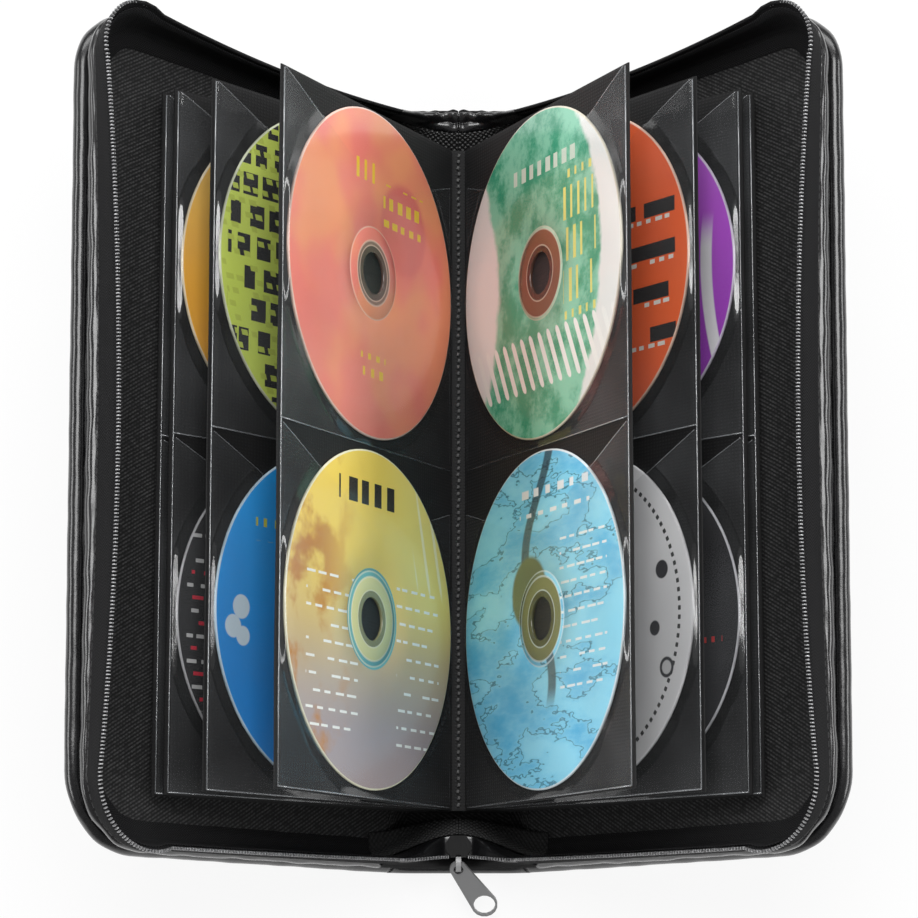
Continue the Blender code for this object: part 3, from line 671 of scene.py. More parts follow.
def print_purple(g):
    g.ground(g.ramp(g.y, -0.05, 0.05), (0.34, 0.035, 0.52), (0.54, 0.090, 0.74))
    bend = g.add(g.x, g.times(g.times(g.y, g.y), -4.0))
    stripe = g.below(g.gap(bend, 0.047), 0.0022, 0.0030)
    g.paint(g.times(stripe, g.below(g.y, 0.005, 0.020)), (0.84, 0.82, 0.86))
    return g.finish((0.30, 0.20, 0.36), (0.76, 0.68, 0.84))


def print_dark(g):
    g.ground(g.noise(g.place, 30.0), (0.012, 0.012, 0.014), (0.026, 0.026, 0.030))
    g.marks((0.60, 0.03, 0.03), (0.0046, 0.0100), (0.60, 0.20),
            ((0.047, -0.0110), (0.0050, 0.0040)), 0.0)
    return g.finish((0.10, 0.10, 0.11), (0.66, 0.66, 0.70))


# Each side's prints, from the innermost page outwards
DISC_PRINTS = {("left", "upper"): (print_coral, print_lime, print_orange),
               ("left", "lower"): (print_gold, print_blue, print_black_rows),
               ("right", "upper"): (print_mint, print_red, print_purple),
               ("right", "lower"): (print_sky, print_grey, print_dark)}


# Meshes


def surface(name, rows, material, closed=False, capped=False, side=1):
    """A grid of points as a mesh with UVs in metres: along the rows, then across each row."""
    count = len(rows[0])
    columns = count if closed else count - 1
    middle = count // 2
    along = [0.0]
    for near, far in zip(rows, rows[1:]):
        along.append(along[-1] + (Vector(far[middle]) - Vector(near[middle])).length)
    across = [0.0]
    first = rows[len(rows) // 2]
    for index in range(columns):
        gap = Vector(first[(index + 1) % count]) - Vector(first[index])
        across.append(across[-1] + gap.length)
    points = [(side * u, v, w) for row in rows for u, v, w in row]
    faces, corners = [], []
    for row in range(len(rows) - 1):
        for column in range(columns):
            following = (column + 1) % count
            near, far = row * count, (row + 1) * count
            faces.append((near + column, near + following, far + following, far + column))
            corners += [(along[row], across[column]), (along[row], across[column + 1]),
                        (along[row + 1], across[column + 1]), (along[row + 1], across[column])]
    if capped:
        for row in (0, len(rows) - 1):
            faces.append([row * count + column for column in range(count)])
            corners += [(along[row], across[column]) for column in range(count)]
    mesh = new_mesh(name, points, faces, material)
    layer = mesh.uv_layers.new(name="UVMap")
    for loop, corner in zip(layer.data, corners):
        loop.uv = corner
    clean_mesh(mesh)
    return mesh


def new_mesh(name, points, faces, material):
    mesh = bpy.data.meshes.new(name)
    mesh.from_pydata(points, [], faces)
    mesh.materials.append(material)
    return mesh


def clean_mesh(mesh, merge=0.0, sharp=None):
    """Weld doubled points, turn every face outwards and shade it smooth."""
    work = bmesh.new()
    work.from_mesh(mesh)
    if merge:
        bmesh.ops.remove_doubles(work, verts=work.verts, dist=merge)
    bmesh.ops.recalc_face_normals(work, faces=work.faces)
    work.to_mesh(mesh)
    work.free()
    mesh.shade_smooth()
    if sharp is not None:
        mesh.set_sharp_from_angle(angle=math.radians(sharp))


def slab(name, lower, upper, material, side=1):
    """A closed sheet between two grids of points, with the points' own u and v as its UVs."""
    count = len(lower[0])
    points = [(side * u, v, w) for rows in (lower, upper) for row in rows for u, v, w in row]
    shift = len(points) // 2
    faces = []
    for i in range(len(lower) - 1):
        for j in range(count - 1):
            a = i * count + j
            quad = (a, a + 1, a + count + 1, a + count)
            faces += [quad, tuple(shift + item for item in quad)]
    last = (len(lower) - 1) * count
    border = [i * count for i in range(len(lower) - 1)] + [last + j for j in range(count - 1)]
    border += [i * count + count - 1 for i in range(len(lower) - 1, 0, -1)]
    border += list(range(count - 1, 0, -1))
    for a, b in zip(border, border[1:] + border[:1]):
        faces.append((a, b, shift + b, shift + a))
    mesh = new_mesh(name, points, faces, material)
    clean_mesh(mesh, WELD_REACH, 60.0)
    layer = mesh.uv_layers.new(name="UVMap")
    for loop in mesh.loops:
        point = mesh.vertices[loop.vertex_index].co
        layer.data[loop.index].uv = (side * point.x, point.y)
    return mesh


def place_piece(name, data, matrix=None):
    made = bpy.data.objects.new(name, data)
    bpy.context.scene.collection.objects.link(made)
    if matrix is not None:
        made.matrix_world = matrix
    return made


def thicken(item, thickness, offset=0.0):
    """Give a sheet its thickness; offset 1 grows it along its normals, -1 against them."""
    step = item.modifiers.new("thickness", "SOLIDIFY")
    step.thickness = thickness
    step.offset = offset


def hinge_matrix(x, z, side, angle):
    """The frame of a cover or page: local X is side times u, Y is v and Z is w."""
    turn = Matrix.Rotation(math.radians(-side * angle), 4, "Y")
    return Matrix.Translation((side * x, 0.0, z)) @ turn


def cover_matrix(side):
    return hinge_matrix(HALF_SPREAD, HINGE_Z, side, COVER_ANGLE)


def on_cover(u, v, w):
    """A cover's u, v, w as a place in the world, for the right side."""
    turn = math.radians(COVER_ANGLE)
    return Vector((HALF_SPREAD + u * math.cos(turn) - w * math.sin(turn), v,
                   HINGE_Z + u * math.sin(turn) + w * math.cos(turn)))


def cover_way():
    """The direction out along the right cover."""
    turn = math.radians(COVER_ANGLE)
    return Vector((math.cos(turn), 0.0, math.sin(turn)))


def ease(low, high, index, steps):
    """A place from low to high, with the steps drawn together at both ends."""
    return low + (high - low) * (0.5 - 0.5 * math.cos(math.pi * index / steps))


def smoothstep(value):
    value = min(1.0, max(0.0, value))
    return value * value * (3.0 - 2.0 * value)


def hermite(start, start_way, end, end_way, share):
    """A point on the smooth curve from start to end with the given ways out and in."""
    square, cube = share * share, share ** 3
    return (start * (2 * cube - 3 * square + 1) + start_way * (cube - 2 * square + share)
            + end * (3 * square - 2 * cube) + end_way * (cube - square))


def arc(centre, radius, start, end, steps):
    turns = [math.radians(start + (end - start) * step / steps) for step in range(steps + 1)]
    return [(centre[0] + radius * math.cos(turn), centre[1] + radius * math.sin(turn))
            for turn in turns]


def finish_piece(piece, body=None, cad=()):
    """Attach a piece to the body that carries it and hide the solids it stands for."""
    if body:
        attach(piece, body)
    if cad:
        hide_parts(*cad)


def bridge_hinge(piece, cad=()):
    """Bake a piece that spans the spine and a cover into the world frame, on no body, and hide the
    solids it stands for.
    """
    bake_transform(piece)
    finish_piece(piece, cad=cad)


# The open edge of a cover, as stations (circle centre u and v, turn, radius, lean)


def edge_legs(start_u):
    far_u, near_u = COVER_WIDTH + FAR_WIDENING - FAR_RADIUS, COVER_WIDTH - NEAR_RADIUS
    far_v, near_v = SPINE_LENGTH / 2 - FAR_RADIUS, NEAR_RADIUS - SPINE_LENGTH / 2
    out_v, tuck_v = far_v + FAR_FLARE, near_v + NEAR_TUCK
    quarter = math.pi / 2
    return (((start_u, far_v, quarter, FAR_RADIUS), (far_u, out_v, quarter, FAR_RADIUS),
             FAR_END_LEAN),
            ((far_u, out_v, quarter, FAR_RADIUS), (far_u, out_v, 0.0, FAR_RADIUS),
             (FAR_END_LEAN[-1], FAR_CORNER_LEAN, SIDE_LEAN[0])),
            ((far_u, out_v, 0.0, FAR_RADIUS), (near_u, tuck_v, 0.0, NEAR_RADIUS), SIDE_LEAN),
            ((near_u, tuck_v, 0.0, NEAR_RADIUS), (near_u, tuck_v, -quarter, NEAR_RADIUS),
             (SIDE_LEAN[-1], NEAR_CORNER_LEAN, NEAR_END_LEAN[0])),
            ((near_u, tuck_v, -quarter, NEAR_RADIUS), (start_u, near_v, -quarter, NEAR_RADIUS),
             NEAR_END_LEAN))


def bend(values, share):
    """The parabola through three values at the shares 0, 1/2 and 1."""
    first, middle, last = values
    return (first * (1 - share) * (1 - 2 * share) + middle * 4 * share * (1 - share)
            + last * share * (2 * share - 1))


def edge_stations(start_u, spacing):
    """Stations about one spacing apart, from the far end round to the near end."""
    legs = edge_legs(start_u)
    stations = [(*legs[0][0], legs[0][2][0])]
    for first, last, leans in legs:
        length = math.dist(first[:2], last[:2]) + first[3] * abs(first[2] - last[2])
        steps = max(1, round(length / spacing))
        for step in range(1, steps + 1):
            share = step / steps
            place = (a + (b - a) * share for a, b in zip(first, last))
            stations.append((*place, bend(leans, share)))
    return stations


def edge_point(station, depth, height):
    """A point on a cover's edge at a depth inside its outermost line and a height w."""
    centre_u, centre_v, turn, radius, lean = station
    rise = max(0.0, height - WALL_BASE) / (RIM_TOP - WALL_BASE)
    reach = radius - depth - lean * rise
    return (centre_u + reach * math.cos(turn), centre_v + reach * math.sin(turn), height)


def edge_band(name, side, section, material, start_u, spacing=0.004, ripple=0.0, closed=True):
    """A section of (depth, height) points drawn round a cover's edge, with soft ripples."""
    rows = []
    for index, station in enumerate(edge_stations(start_u, spacing)):
        corner = abs(math.sin(2 * station[2]))
        phase = index * spacing
        row = []
        for place, (depth, height) in enumerate(section):
            wobble = math.sin(phase * 310.0 + place * 0.7) + 0.6 * math.sin(phase * 523.0 + 1.3)
            wobble += 0.8 * math.sin(phase * 117.0 + place * 0.4 + side)
            shift = ripple * (0.45 + 0.55 * corner) * wobble
            row.append(edge_point(station, depth + shift, height))
        rows.append(row)
    mesh = surface(name, rows, material, closed=closed, capped=closed, side=side)
    return place_piece(name, mesh, cover_matrix(side))


# Covers


def soften(pad):
    """Inflate a pad with Blender's cloth, keeping each point near where it was."""
    scene = bpy.context.scene
    work = place_piece("cloth_work", pad.data.copy())
    cloth = work.modifiers.new("cloth", "CLOTH")
    cloth.settings.quality = 4
    cloth.settings.use_pressure = True
    cloth.settings.uniform_pressure_force = PAD_PRESSURE
    cloth.settings.effector_weights.gravity = 0.0
    scene.frame_start, scene.frame_end = 1, PAD_FRAMES
    cloth.point_cache.frame_start, cloth.point_cache.frame_end = 1, PAD_FRAMES
    for number in range(1, PAD_FRAMES + 1):
        scene.frame_set(number)
    made = work.evaluated_get(bpy.context.evaluated_depsgraph_get())
    result = made.to_mesh()
    for vertex, moved in zip(pad.data.vertices, result.vertices):
        shift = moved.co - vertex.co
        if shift.length > PAD_MOVE:
            shift *= PAD_MOVE / shift.length
        vertex.co += shift
    made.to_mesh_clear()
    bpy.data.objects.remove(work)
    scene.frame_set(1)


def cover_grid(depth, start_u, height, crown):
    """Points over a cover inside its rounded outline, crowned towards the middle."""
    stations = edge_stations(start_u, 0.0015)
    quarter = math.pi / 4
    far = [item for item in stations if item[2] >= quarter]
    near = [item for item in stations if item[2] <= -quarter][::-1]
    outer = [item for item in stations if abs(item[2]) <= quarter + 0.03][::-1]

    def along(run, share):
        place = share * (len(run) - 1)
        index = min(int(place), len(run) - 2)
        first, last = (Vector(edge_point(run[index + k], depth, 0.0)) for k in (0, 1))
        return first.lerp(last, place - index)

    corners = [along(near, 0.0), along(near, 1.0), along(far, 0.0), along(far, 1.0)]
    rows = []
    for i in range(COVER_STEPS[0] + 1):
        s = 1 - (1 - i / COVER_STEPS[0]) ** 1.6
        row = []
        for j in range(COVER_STEPS[1] + 1):
            t = ease(0.0, 1.0, j, COVER_STEPS[1])
            ends = along(near, s) * (1 - t) + along(far, s) * t
            sides = corners[0].lerp(corners[2], t) * (1 - s) + along(outer, t) * s
            mixed = (corners[0] * (1 - s) * (1 - t) + corners[1] * s * (1 - t)
                     + corners[2] * (1 - s) * t + corners[3] * s * t)
            point = ends + sides - mixed
            edge = min(t * SPINE_LENGTH, (1 - t) * SPINE_LENGTH, (1 - s) * COVER_WIDTH,
                       s * COVER_WIDTH + 0.004)
            puff = crown * (smoothstep(edge / 0.014) - 1.0)
            soft = math.sin(point.x * 190.0 + point.y * 40.0) * math.sin(point.y * 150.0)
            soft += 0.6 * math.sin(point.x * 61.0 - point.y * 83.0)
            point.z = height + puff + math.copysign(0.0001, crown) * soft * smoothstep(edge / 0.02)
            row.append(tuple(point))
        rows.append(row)
    return rows


def build_cover(label, side, looks):
    body = f"{label}_cover"
    matrix = cover_matrix(side)
    name = f"{label}_padded_panel"
    start = PANEL_HALF + 0.0004
    pad = place_piece(name, slab(name, cover_grid(0.0060, start, -PANEL_HALF, -0.0016),
                                 cover_grid(0.0062, start, PANEL_HALF - 0.0002, 0.0008),
                                 looks["leather"], side), matrix)
    soften(pad)
    finish_piece(pad, body, [f"{label}_cover_panel"])

    name = f"{label}_lining_floor"
    lining = place_piece(name, slab(name, cover_grid(0.0056, EDGE_START, 0.0027, 0.0002),
                                    cover_grid(0.0056, EDGE_START, LINING_TOP, 0.0),
                                    looks["twill"], side), matrix)
    finish_piece(lining, body, [f"{label}_cover_lining"])

    roll_section = arc((EDGE_MIDDLE, ROLL_CENTRE), ROLL_RADIUS, 0.0, 345.0, 17)
    roll = edge_band(f"{label}_edge_roll", side, roll_section, looks["roll"], EDGE_START,
                     0.0022, 0.00012)
    finish_piece(roll, body, [f"{label}_cover_piping"])

    wall = edge_band(f"{label}_wall_band", side, WALL_SECTION, looks["band"], WALL_START,
                     0.0022, 0.00030)
    finish_piece(wall, body, [f"{label}_side_wall"])

    tape = edge_band(f"{label}_tape_band", side, TAPE_SECTION, looks["tape"], WALL_START,
                     0.0040, 0.00008)
    finish_piece(tape, body, [f"{label}_zipper_tape"])

    # Painted shade: the lining wall wears the dark zip-tape weave instead of the twill, to stand in
    # for the shadow on its inner face.
    inner = edge_band(f"{label}_lining_wall", side, INNER_SECTION, looks["tape"], WALL_START,
                      0.0040, 0.00014, closed=False)
    thicken(inner, LINER_THICKNESS)
    finish_piece(inner, body)

    finish_piece(build_topstitch(f"{label}_topstitch", side, looks["dark_thread"]), body)
    finish_piece(build_teeth(f"{label}_teeth_chain", side, looks["teeth"]), body,
                 [f"{label}_zipper_teeth"])
    cord_section = arc((EDGE_MIDDLE + 0.0001, TOOTH_MIDDLE - 0.0010), CORD_RADIUS, 0, 315, 7)
    cord = edge_band(f"{label}_chain_cord", side, cord_section, looks["tape"], WALL_START)
    finish_piece(cord, body)


def join_boxes(name, boxes, material, side=1, chamfer=0.25):
    """Many small chamfered blocks as one mesh; a box is (origin, along, across, up) half axes."""
    points, faces = [], []
    levels = ((-1.0, 1.0), (0.45, 1.0), (1.0, 1.0 - chamfer))
    for origin, along, across, up in boxes:
        base = len(points)
        for rise, reach in levels:
            for a, b in ((-1, -1), (1, -1), (1, 1), (-1, 1)):
                point = origin + along * (a * reach) + across * (b * reach) + up * rise
                points.append((side * point.x, point.y, point.z))
        for level in (0, 4):
            for k in range(4):
                near, far = base + level + k, base + level + (k + 1) % 4
                faces.append((near, far, far + 4, near + 4))
        faces.append((base + 3, base + 2, base + 1, base))
        faces.append((base + 8, base + 9, base + 10, base + 11))
    mesh = new_mesh(name, points, faces, material)
    clean_mesh(mesh, sharp=35.0)
    return mesh


def tooth(here, *ways):
    """A tooth as a box for join_boxes: its middle and its half axes."""
    return (here, *(way * half for way, half in zip(ways, TOOTH_HALVES)))


def station_axes(stations, index, depth, height):
    """The point, and unit vectors along, across and up, at a station of a cover's edge."""
    here = Vector(edge_point(stations[index], depth, height))
    near = Vector(edge_point(stations[max(0, index - 1)], depth, height))
    far = Vector(edge_point(stations[min(len(stations) - 1, index + 1)], depth, height))
    turn = stations[index][2]
    across = Vector((-math.cos(turn), -math.sin(turn), 0.0))
    return here, (far - near).normalized(), across, Vector((0.0, 0.0, 1.0))


def build_teeth(name, side, material):
    """The zip's teeth, each a small chamfered block, sunk into the tape along the far rim."""
    stations = edge_stations(WALL_START, TOOTH_PITCH)
    boxes = []
    for index in range(len(stations)):
        hidden = smoothstep((stations[index][2] - SUNK_FROM) / SUNK_OVER)
        depth, height = EDGE_MIDDLE + 0.0002 * hidden, TOOTH_MIDDLE - SUNK_DROP * hidden
        here, along, across, up = station_axes(stations, index, depth, height)
        boxes.append(tooth(here, along, across, up))
    return place_piece(name, join_boxes(name, boxes, material, side), cover_matrix(side))


def build_topstitch(name, side, material):
    """A row of stitches in the dark seam between the side wall and the zip's tape."""
    stations = edge_stations(WALL_START, TOPSTITCH_PITCH)
    boxes = []
    for index in range(1, len(stations) - 1):
        here, along, across, up = station_axes(stations, index, 0.0024, 0.0118)
        boxes.append((here, along * (TOPSTITCH_PITCH * 0.34), across * 0.00028, up * 0.00030))
    return place_piece(name, join_boxes(name, boxes, material, side, 0.5), cover_matrix(side))


# Spine, with the folds and gathers that join it to the covers


def flat_grid(low, high, height, crown):
    """Points over a rectangle, crowned towards its middle."""
    rows = []
    for i in range(SPINE_STEPS[0] + 1):
        x = ease(low[0], high[0], i, SPINE_STEPS[0])
        row = []
        for j in range(SPINE_STEPS[1] + 1):
            y = ease(low[1], high[1], j, SPINE_STEPS[1])
            edge = min(x - low[0], high[0] - x, y - low[1], high[1] - y)
            puff = crown * (smoothstep(edge / 0.010) - 1.0)
            soft = math.copysign(0.00008, crown) * math.sin(x * 170.0 + y * 60.0)
            row.append((x, y, height + puff + soft * smoothstep(edge / 0.01)))
        rows.append(row)
    return rows


def build_spine(looks):
    end = SPINE_LENGTH / 2 - SPINE_PAD_END_ROOM
    low, high = (-SPINE_PAD_HALF, -end), (SPINE_PAD_HALF, end)
    pad = place_piece("spine_pad", slab("spine_pad", flat_grid(low, high, 0.0002, -0.0012),
                                        flat_grid(low, high, 0.0050, 0.0006), looks["leather"]))
    finish_piece(pad, "spine", ["spine_panel"])

    high = SPINE_LINING_HALF
    low = (-high[0], -high[1])
    lining = place_piece("spine_floor", slab("spine_floor", flat_grid(low, high, 0.0053, 0.0001),
                                             flat_grid(low, high, 0.0061, 0.0002),
                                             looks["twill"]))
    finish_piece(lining, "spine", ["spine_lining"])

    frame["nodes"]["page_binding"].data.materials[0] = looks["page"]
    top = page_root(1)[1] - 0.0002
    boxes = []
    count = round((PAGE_HEIGHT - 0.003) / STITCH_PITCH)
    for index in range(count):
        y = PAGE_SHIFT + (index - (count - 1) / 2) * STITCH_PITCH
        boxes.append((Vector((0.0002 * math.sin(index * 2.3), y, top)),
                      Vector((0.0001, STITCH_PITCH * 0.26, 0)), Vector((0.00048, 0, 0)),
                      Vector((0, 0, 0.00042))))
    stitches = place_piece("page_stitches", join_boxes("page_stitches", boxes,
                                                       looks["pale_thread"], 1, 0.45))
    finish_piece(stitches, "spine", ["binding_stitches"])


def build_hinge_folds(label, side, looks):
    """The outer skin and the inner lining that fold between the spine and a cover."""
    turn = math.radians(COVER_ANGLE)
    back = [(0.0172, 0.0002), (0.0195, 0.0)]
    for step in range(7):
        angle = -math.pi / 2 + turn * step / 6
        back.append((HALF_SPREAD + PANEL_HALF * math.cos(angle),
                     HINGE_Z + PANEL_HALF * math.sin(angle)))
    for u, w in ((0.0022, -0.00252), (0.0048, -0.0021)):
        point = on_cover(u, 0.0, w)
        back.append((point.x, point.z))
    lifted = [(x, z + 0.0004) for x, z in back]
    fold = [(0.0182, 0.0056), (0.0196, 0.0057), (0.0208, 0.0057), (0.0219, 0.0059),
            (0.0230, 0.0065), (0.0240, 0.0075)]
    for u, w in ((0.0066, 0.0032), (0.0085, 0.0034)):
        point = on_cover(u, 0.0, w)
        fold.append((point.x, point.z))
    for kind, line, length, reach, look, slot in (
            ("outer", lifted, 0.1405, 0.0048, "leather", "leatherette"),
            ("inner", fold, 0.1290, 0.0085, "twill", "twill_lining")):
        rows = []
        for step in range(61):
            y = length * (2 * step / 60 - 1)
            row = []
            for index, (x, z) in enumerate(line):
                ripple = 0.00012 * math.sin(y * 260.0 + index) * math.sin(math.pi * index / 9)
                row.append((x + ripple * (kind == "inner"), y, z + abs(ripple)))
            rows.append(row)
        name = f"{label}_{kind}_fold"
        piece = place_piece(name, surface(name, rows, looks[look], side=side))
        thicken(piece, SKIN_THICKNESS)
        bridge_hinge(piece)


def gather_point(end, middle, wall, share, place):
    """A point of an end gather: from the spine's section to the cover's wall, with puckers."""
    start = Vector((0.0, end * middle[0], middle[1]))
    finish = on_cover(GATHER_END_U, end * wall[0], wall[1])
    length = (finish - start).length
    point = hermite(start, Vector((length, 0.0, 0.0)), finish, cover_way() * length, share)
    x = point.x
    if end < 0 and place > 2:
        saddle = SADDLE_Z + max(0.0, abs(x) - 0.0053) * 0.95
        point.z = min(point.z, saddle - 0.0001 * max(0, place - 9))
    pull = math.sin(math.pi * min(1.0, max(0.0, (place - 3) / 12)))
    fade = 1.0 - smoothstep(share * 1.05)
    depth = pull * (0.00030 * fade * (end > 0) + 0.00020 * (1.0 - smoothstep(share * 0.9)))
    if end < 0 and abs(x) < 0.006:
        depth = 0.0
    pucker = math.sin(x * 980.0 + 0.5 * place) + 0.6 * math.sin(x * 1750.0 - 0.7 * place)
    point.z += depth * pucker * 0.8
    point.y += end * depth * pucker * 0.5
    return point


def build_gathers(label, side, looks):
    """The soft walls that close the spine's two ends, each half from the middle to one cover."""
    parts = (("mesh", 0, 5, "mesh", "webbing"), ("gather", 4, 11, "gather", "leatherette"),
             ("skirt", 10, len(FAR_WALL), "skirt", "webbing"))
    for end, word, middle, wall in ((1, "far", FAR_GATHER, FAR_WALL),
                                    (-1, "near", NEAR_GATHER, NEAR_WALL)):
        for kind, first, last, look, slot in parts:
            rows = []
            for step in range(41):
                share = step / 40
                rows.append([tuple(gather_point(end, middle[k], wall[k], share, k))
                             for k in range(first, last)])
            name = f"{label}_{word}_{kind}"
            piece = place_piece(name, surface(name, rows, looks[look], side=side))
            thicken(piece, SKIN_THICKNESS, -1.0)
            step = piece.modifiers.new("smooth", "SUBSURF")
            step.levels = step.render_levels = 1
            cad = [f"{word}_end_gusset"] if kind == "gather" else []
            bridge_hinge(piece, cad)

        path = []
        cover = on_cover(EDGE_START, end * (SPINE_LENGTH / 2 - EDGE_MIDDLE), ROLL_CENTRE)
        middle_point = Vector((0.0, cover.y, ROLL_RADIUS))
        flat = Vector((0.0165, cover.y, ROLL_RADIUS))
        for step in range(13):
            path.append(middle_point.lerp(flat, step / 12))
        for step in range(1, 9):
            path.append(hermite(flat, Vector((0.010, 0.0, 0.0)), cover, cover_way() * 0.010,
                                step / 8))
        name = f"{label}_{word}_end_roll"
        roll = tube(name, path, ROLL_RADIUS, looks["roll"], None, 16, side)
        bridge_hinge(roll)


def build_near_chain(label, side, looks):
    """The zip's teeth between a cover's rim and the slider."""
    start = on_cover(GATHER_END_U, NEAR_END_LEAN[-1] + EDGE_MIDDLE - SPINE_LENGTH / 2,
                     TOOTH_MIDDLE)
    end = Vector(NEAR_CHAIN_END)
    way_in = cover_way() * -0.022
    way_out = Vector((-0.014, 0.0, 0.0))
    count = round(1.05 * (end - start).length / TOOTH_PITCH)
    path = [hermite(start, way_in, end, way_out, step / count) for step in range(count + 1)]
    boxes = []
    for index in range(count):
        here, following = path[index], path[index + 1]
        along = (following - here).normalized()
        across = Vector((0, 0, 1)).cross(along).normalized()
        up = along.cross(across)
        boxes.append(tooth(here, along, across, up))
    name = f"{label}_near_chain"
    chain = place_piece(name, join_boxes(name, boxes, looks["teeth"], side))
    bridge_hinge(chain)
    cord_path = [tuple(point - Vector((0, 0, 0.0008))) for point in path]
    name = f"{label}_near_cord"
    cord = tube(name, cord_path, NEAR_CORD_RADIUS, looks["tape"], None, 8, side)
    bridge_hinge(cord)


# Pages


def page_root(number):
    joint = JOINTS[f"right_leaf_{number}_hinge"]["pos_m"]
    return joint[0], joint[2]


def page_matrix(side, number):
    x, z = page_root(number)
    angles = LEFT_PAGE_ANGLES if side < 0 else RIGHT_PAGE_ANGLES
    return hinge_matrix(x, z, side, angles[number - 1])


def pocket_middle(level):
    return PAGE_SHIFT + (PAGE_HEIGHT / 4 if level == "upper" else -PAGE_HEIGHT / 4)


def mouth_v(u, high):
    """The V-shaped mouth of a pocket: its v at a distance u."""
    start, end = FILM_MARGIN, PAGE_WIDTH - FILM_MARGIN
    if u < NOTCH_CENTRE:
        share = (u - start) / (NOTCH_CENTRE - start)
        return high - NOTCH_SPINE_DROP - (NOTCH_DEPTH - NOTCH_SPINE_DROP) * share
    return high - NOTCH_DEPTH * (end - u) / (end - NOTCH_CENTRE)


def film_height(u, v, middle, low, has_disc):
    """How high the film lies over the page: over the disc, and down to its welds."""
    edge = min(u - FILM_MARGIN, PAGE_WIDTH - FILM_MARGIN - u, v - low)
    base = PAGE_FACE + 0.00012
    if not has_disc:
        wave = 1 + 0.5 * math.sin(v * 90.0 + u * 30.0)
        return base + 0.00016 * smoothstep(edge / 0.010) * wave
    away = math.hypot(u - PAGE_WIDTH / 2, v - middle - DISC_REST) - DISC_RADIUS
    over = 1.0 - smoothstep(away / 0.0050)
    lift = 0.0004 + (FILM_TOP - 0.0006 - base) * over
    lift += 0.00010 * math.sin(v * 210.0 + u * 90.0) * (1.0 - over)
    return base + lift * smoothstep((edge + 0.0006) / 0.0022)


def build_pocket(label, side, number, level, material, front=True):
    """One clear pocket: a thin film that rises over its disc and is welded at its edges."""
    has_disc = front and number <= PAGES_WITH_DISCS
    middle = pocket_middle(level)
    low = middle - PAGE_HEIGHT / 4 + 0.0006
    high = middle + PAGE_HEIGHT / 4 - 0.0006
    steps_u, steps_v = 64, 60
    rows = []
    for i in range(steps_u + 1):
        u = ease(FILM_MARGIN, PAGE_WIDTH - FILM_MARGIN, i, steps_u)
        if abs(i / steps_u - 0.475) < 0.5 / steps_u:
            u = NOTCH_CENTRE
        top = mouth_v(u, high)
        row = []
        for j in range(steps_v + 1):
            v = low + (top - low) * (j / steps_v) ** 0.9
            w = film_height(u, v, middle, low, has_disc)
            row.append((u, v, w if front else -w))
        rows.append(row)
    kind = "pocket_film" if front else "back_film"
    name = f"{label}_leaf_{number}_{level}_{kind}"
    film = place_piece(name, surface(name, rows, material, side=side), page_matrix(side, number))
    cad = [f"{label}_leaf_{number}_{level}_pocket"] if front else []
    finish_piece(film, f"{label}_leaf_{number}", cad)


def tube_rings(path, radius, sides):
    rings = []
    for index, point in enumerate(path):
        near = Vector(path[max(0, index - 1)])
        far = Vector(path[min(len(path) - 1, index + 1)])
        along = (far - near).normalized()
        lift = Vector((0.0, 0.0, 1.0))
        if abs(along.dot(lift)) > 0.95:
            lift = Vector((0.0, 1.0, 0.0))
        across = along.cross(lift).normalized()
        lift = across.cross(along)
        turns = [2 * math.pi * k / sides for k in range(sides)]
        rings.append([tuple(Vector(point) + radius * (across * math.cos(turn)
                                                      + lift * math.sin(turn)))
                      for turn in turns])
    return rings


def tube(name, path, radius, material, matrix, sides=6, side=1):
    """A round bar along a path of points, closed at both ends."""
    mesh = surface(name, tube_rings(path, radius, sides), material, True, True, side)
    return place_piece(name, mesh, matrix)


def build_page(label, side, number, looks):
    """A page's cloth sheet, a little wavy, and the welded lines of its pockets."""
    body, matrix = f"{label}_leaf_{number}", page_matrix(side, number)
    low, high = PAGE_SHIFT - PAGE_HEIGHT / 2, PAGE_SHIFT + PAGE_HEIGHT / 2
    layers = []
    for sign in (-1, 1):
        rows = []
        for i in range(19):
            u = ease(0.0, PAGE_WIDTH, i, 18)
            row = []
            for j in range(45):
                v = ease(low, high, j, 44)
                edge = min(PAGE_WIDTH - u, v - low, high - v)
                half = PAGE_FACE * (0.45 + 0.55 * smoothstep(edge / 0.0012))
                wave = 0.00012 * math.sin(v * 75.0 + number) * math.sin(u * 45.0 + side)
                row.append((u, v, sign * half + wave * smoothstep(u / 0.03)))
            rows.append(row)
        layers.append(rows)
    name = f"{label}_leaf_{number}_sheet"
    sheet = place_piece(name, slab(name, layers[0], layers[1], looks["page"], side), matrix)
    finish_piece(sheet, body, [f"{label}_leaf_{number}"])

    edge, w = PAGE_WIDTH - 0.0012, PAGE_FACE + 0.0002
    runs = {"outer": [(edge, low + 0.001, w), (edge, high - 0.001, w)]}
    for level in LEVELS:
        middle = pocket_middle(level)
        base = middle - PAGE_HEIGHT / 4 + 0.0008
        top = middle + PAGE_HEIGHT / 4 - 0.0006
        runs[f"{level}_base"] = [(0.0028, base, w), (edge, base, w)]
        runs[f"{level}_mouth"] = [(u, mouth_v(u, top), w + 0.0006 * (1 - abs(u / 0.063 - 1) ** 6))
                                  for u in (0.0024, 0.010, 0.025, 0.040, NOTCH_CENTRE, 0.080,
                                            0.100, 0.115, PAGE_WIDTH - 0.0024)]
    for kind, points in runs.items():
        path = []
        for start, end in zip(points, points[1:]):
            path += [tuple(a + (b - a) * step / 8 for a, b in zip(start, end))
                     for step in range(8)]
        path.append(points[-1])
        name = f"{label}_leaf_{number}_{kind}_weld"
        radius = MOUTH_RADIUS if kind.endswith("mouth") else WELD_RADIUS
        weld = tube(name, path, radius, looks["weld"], matrix, 6, side)
        finish_piece(weld, body)


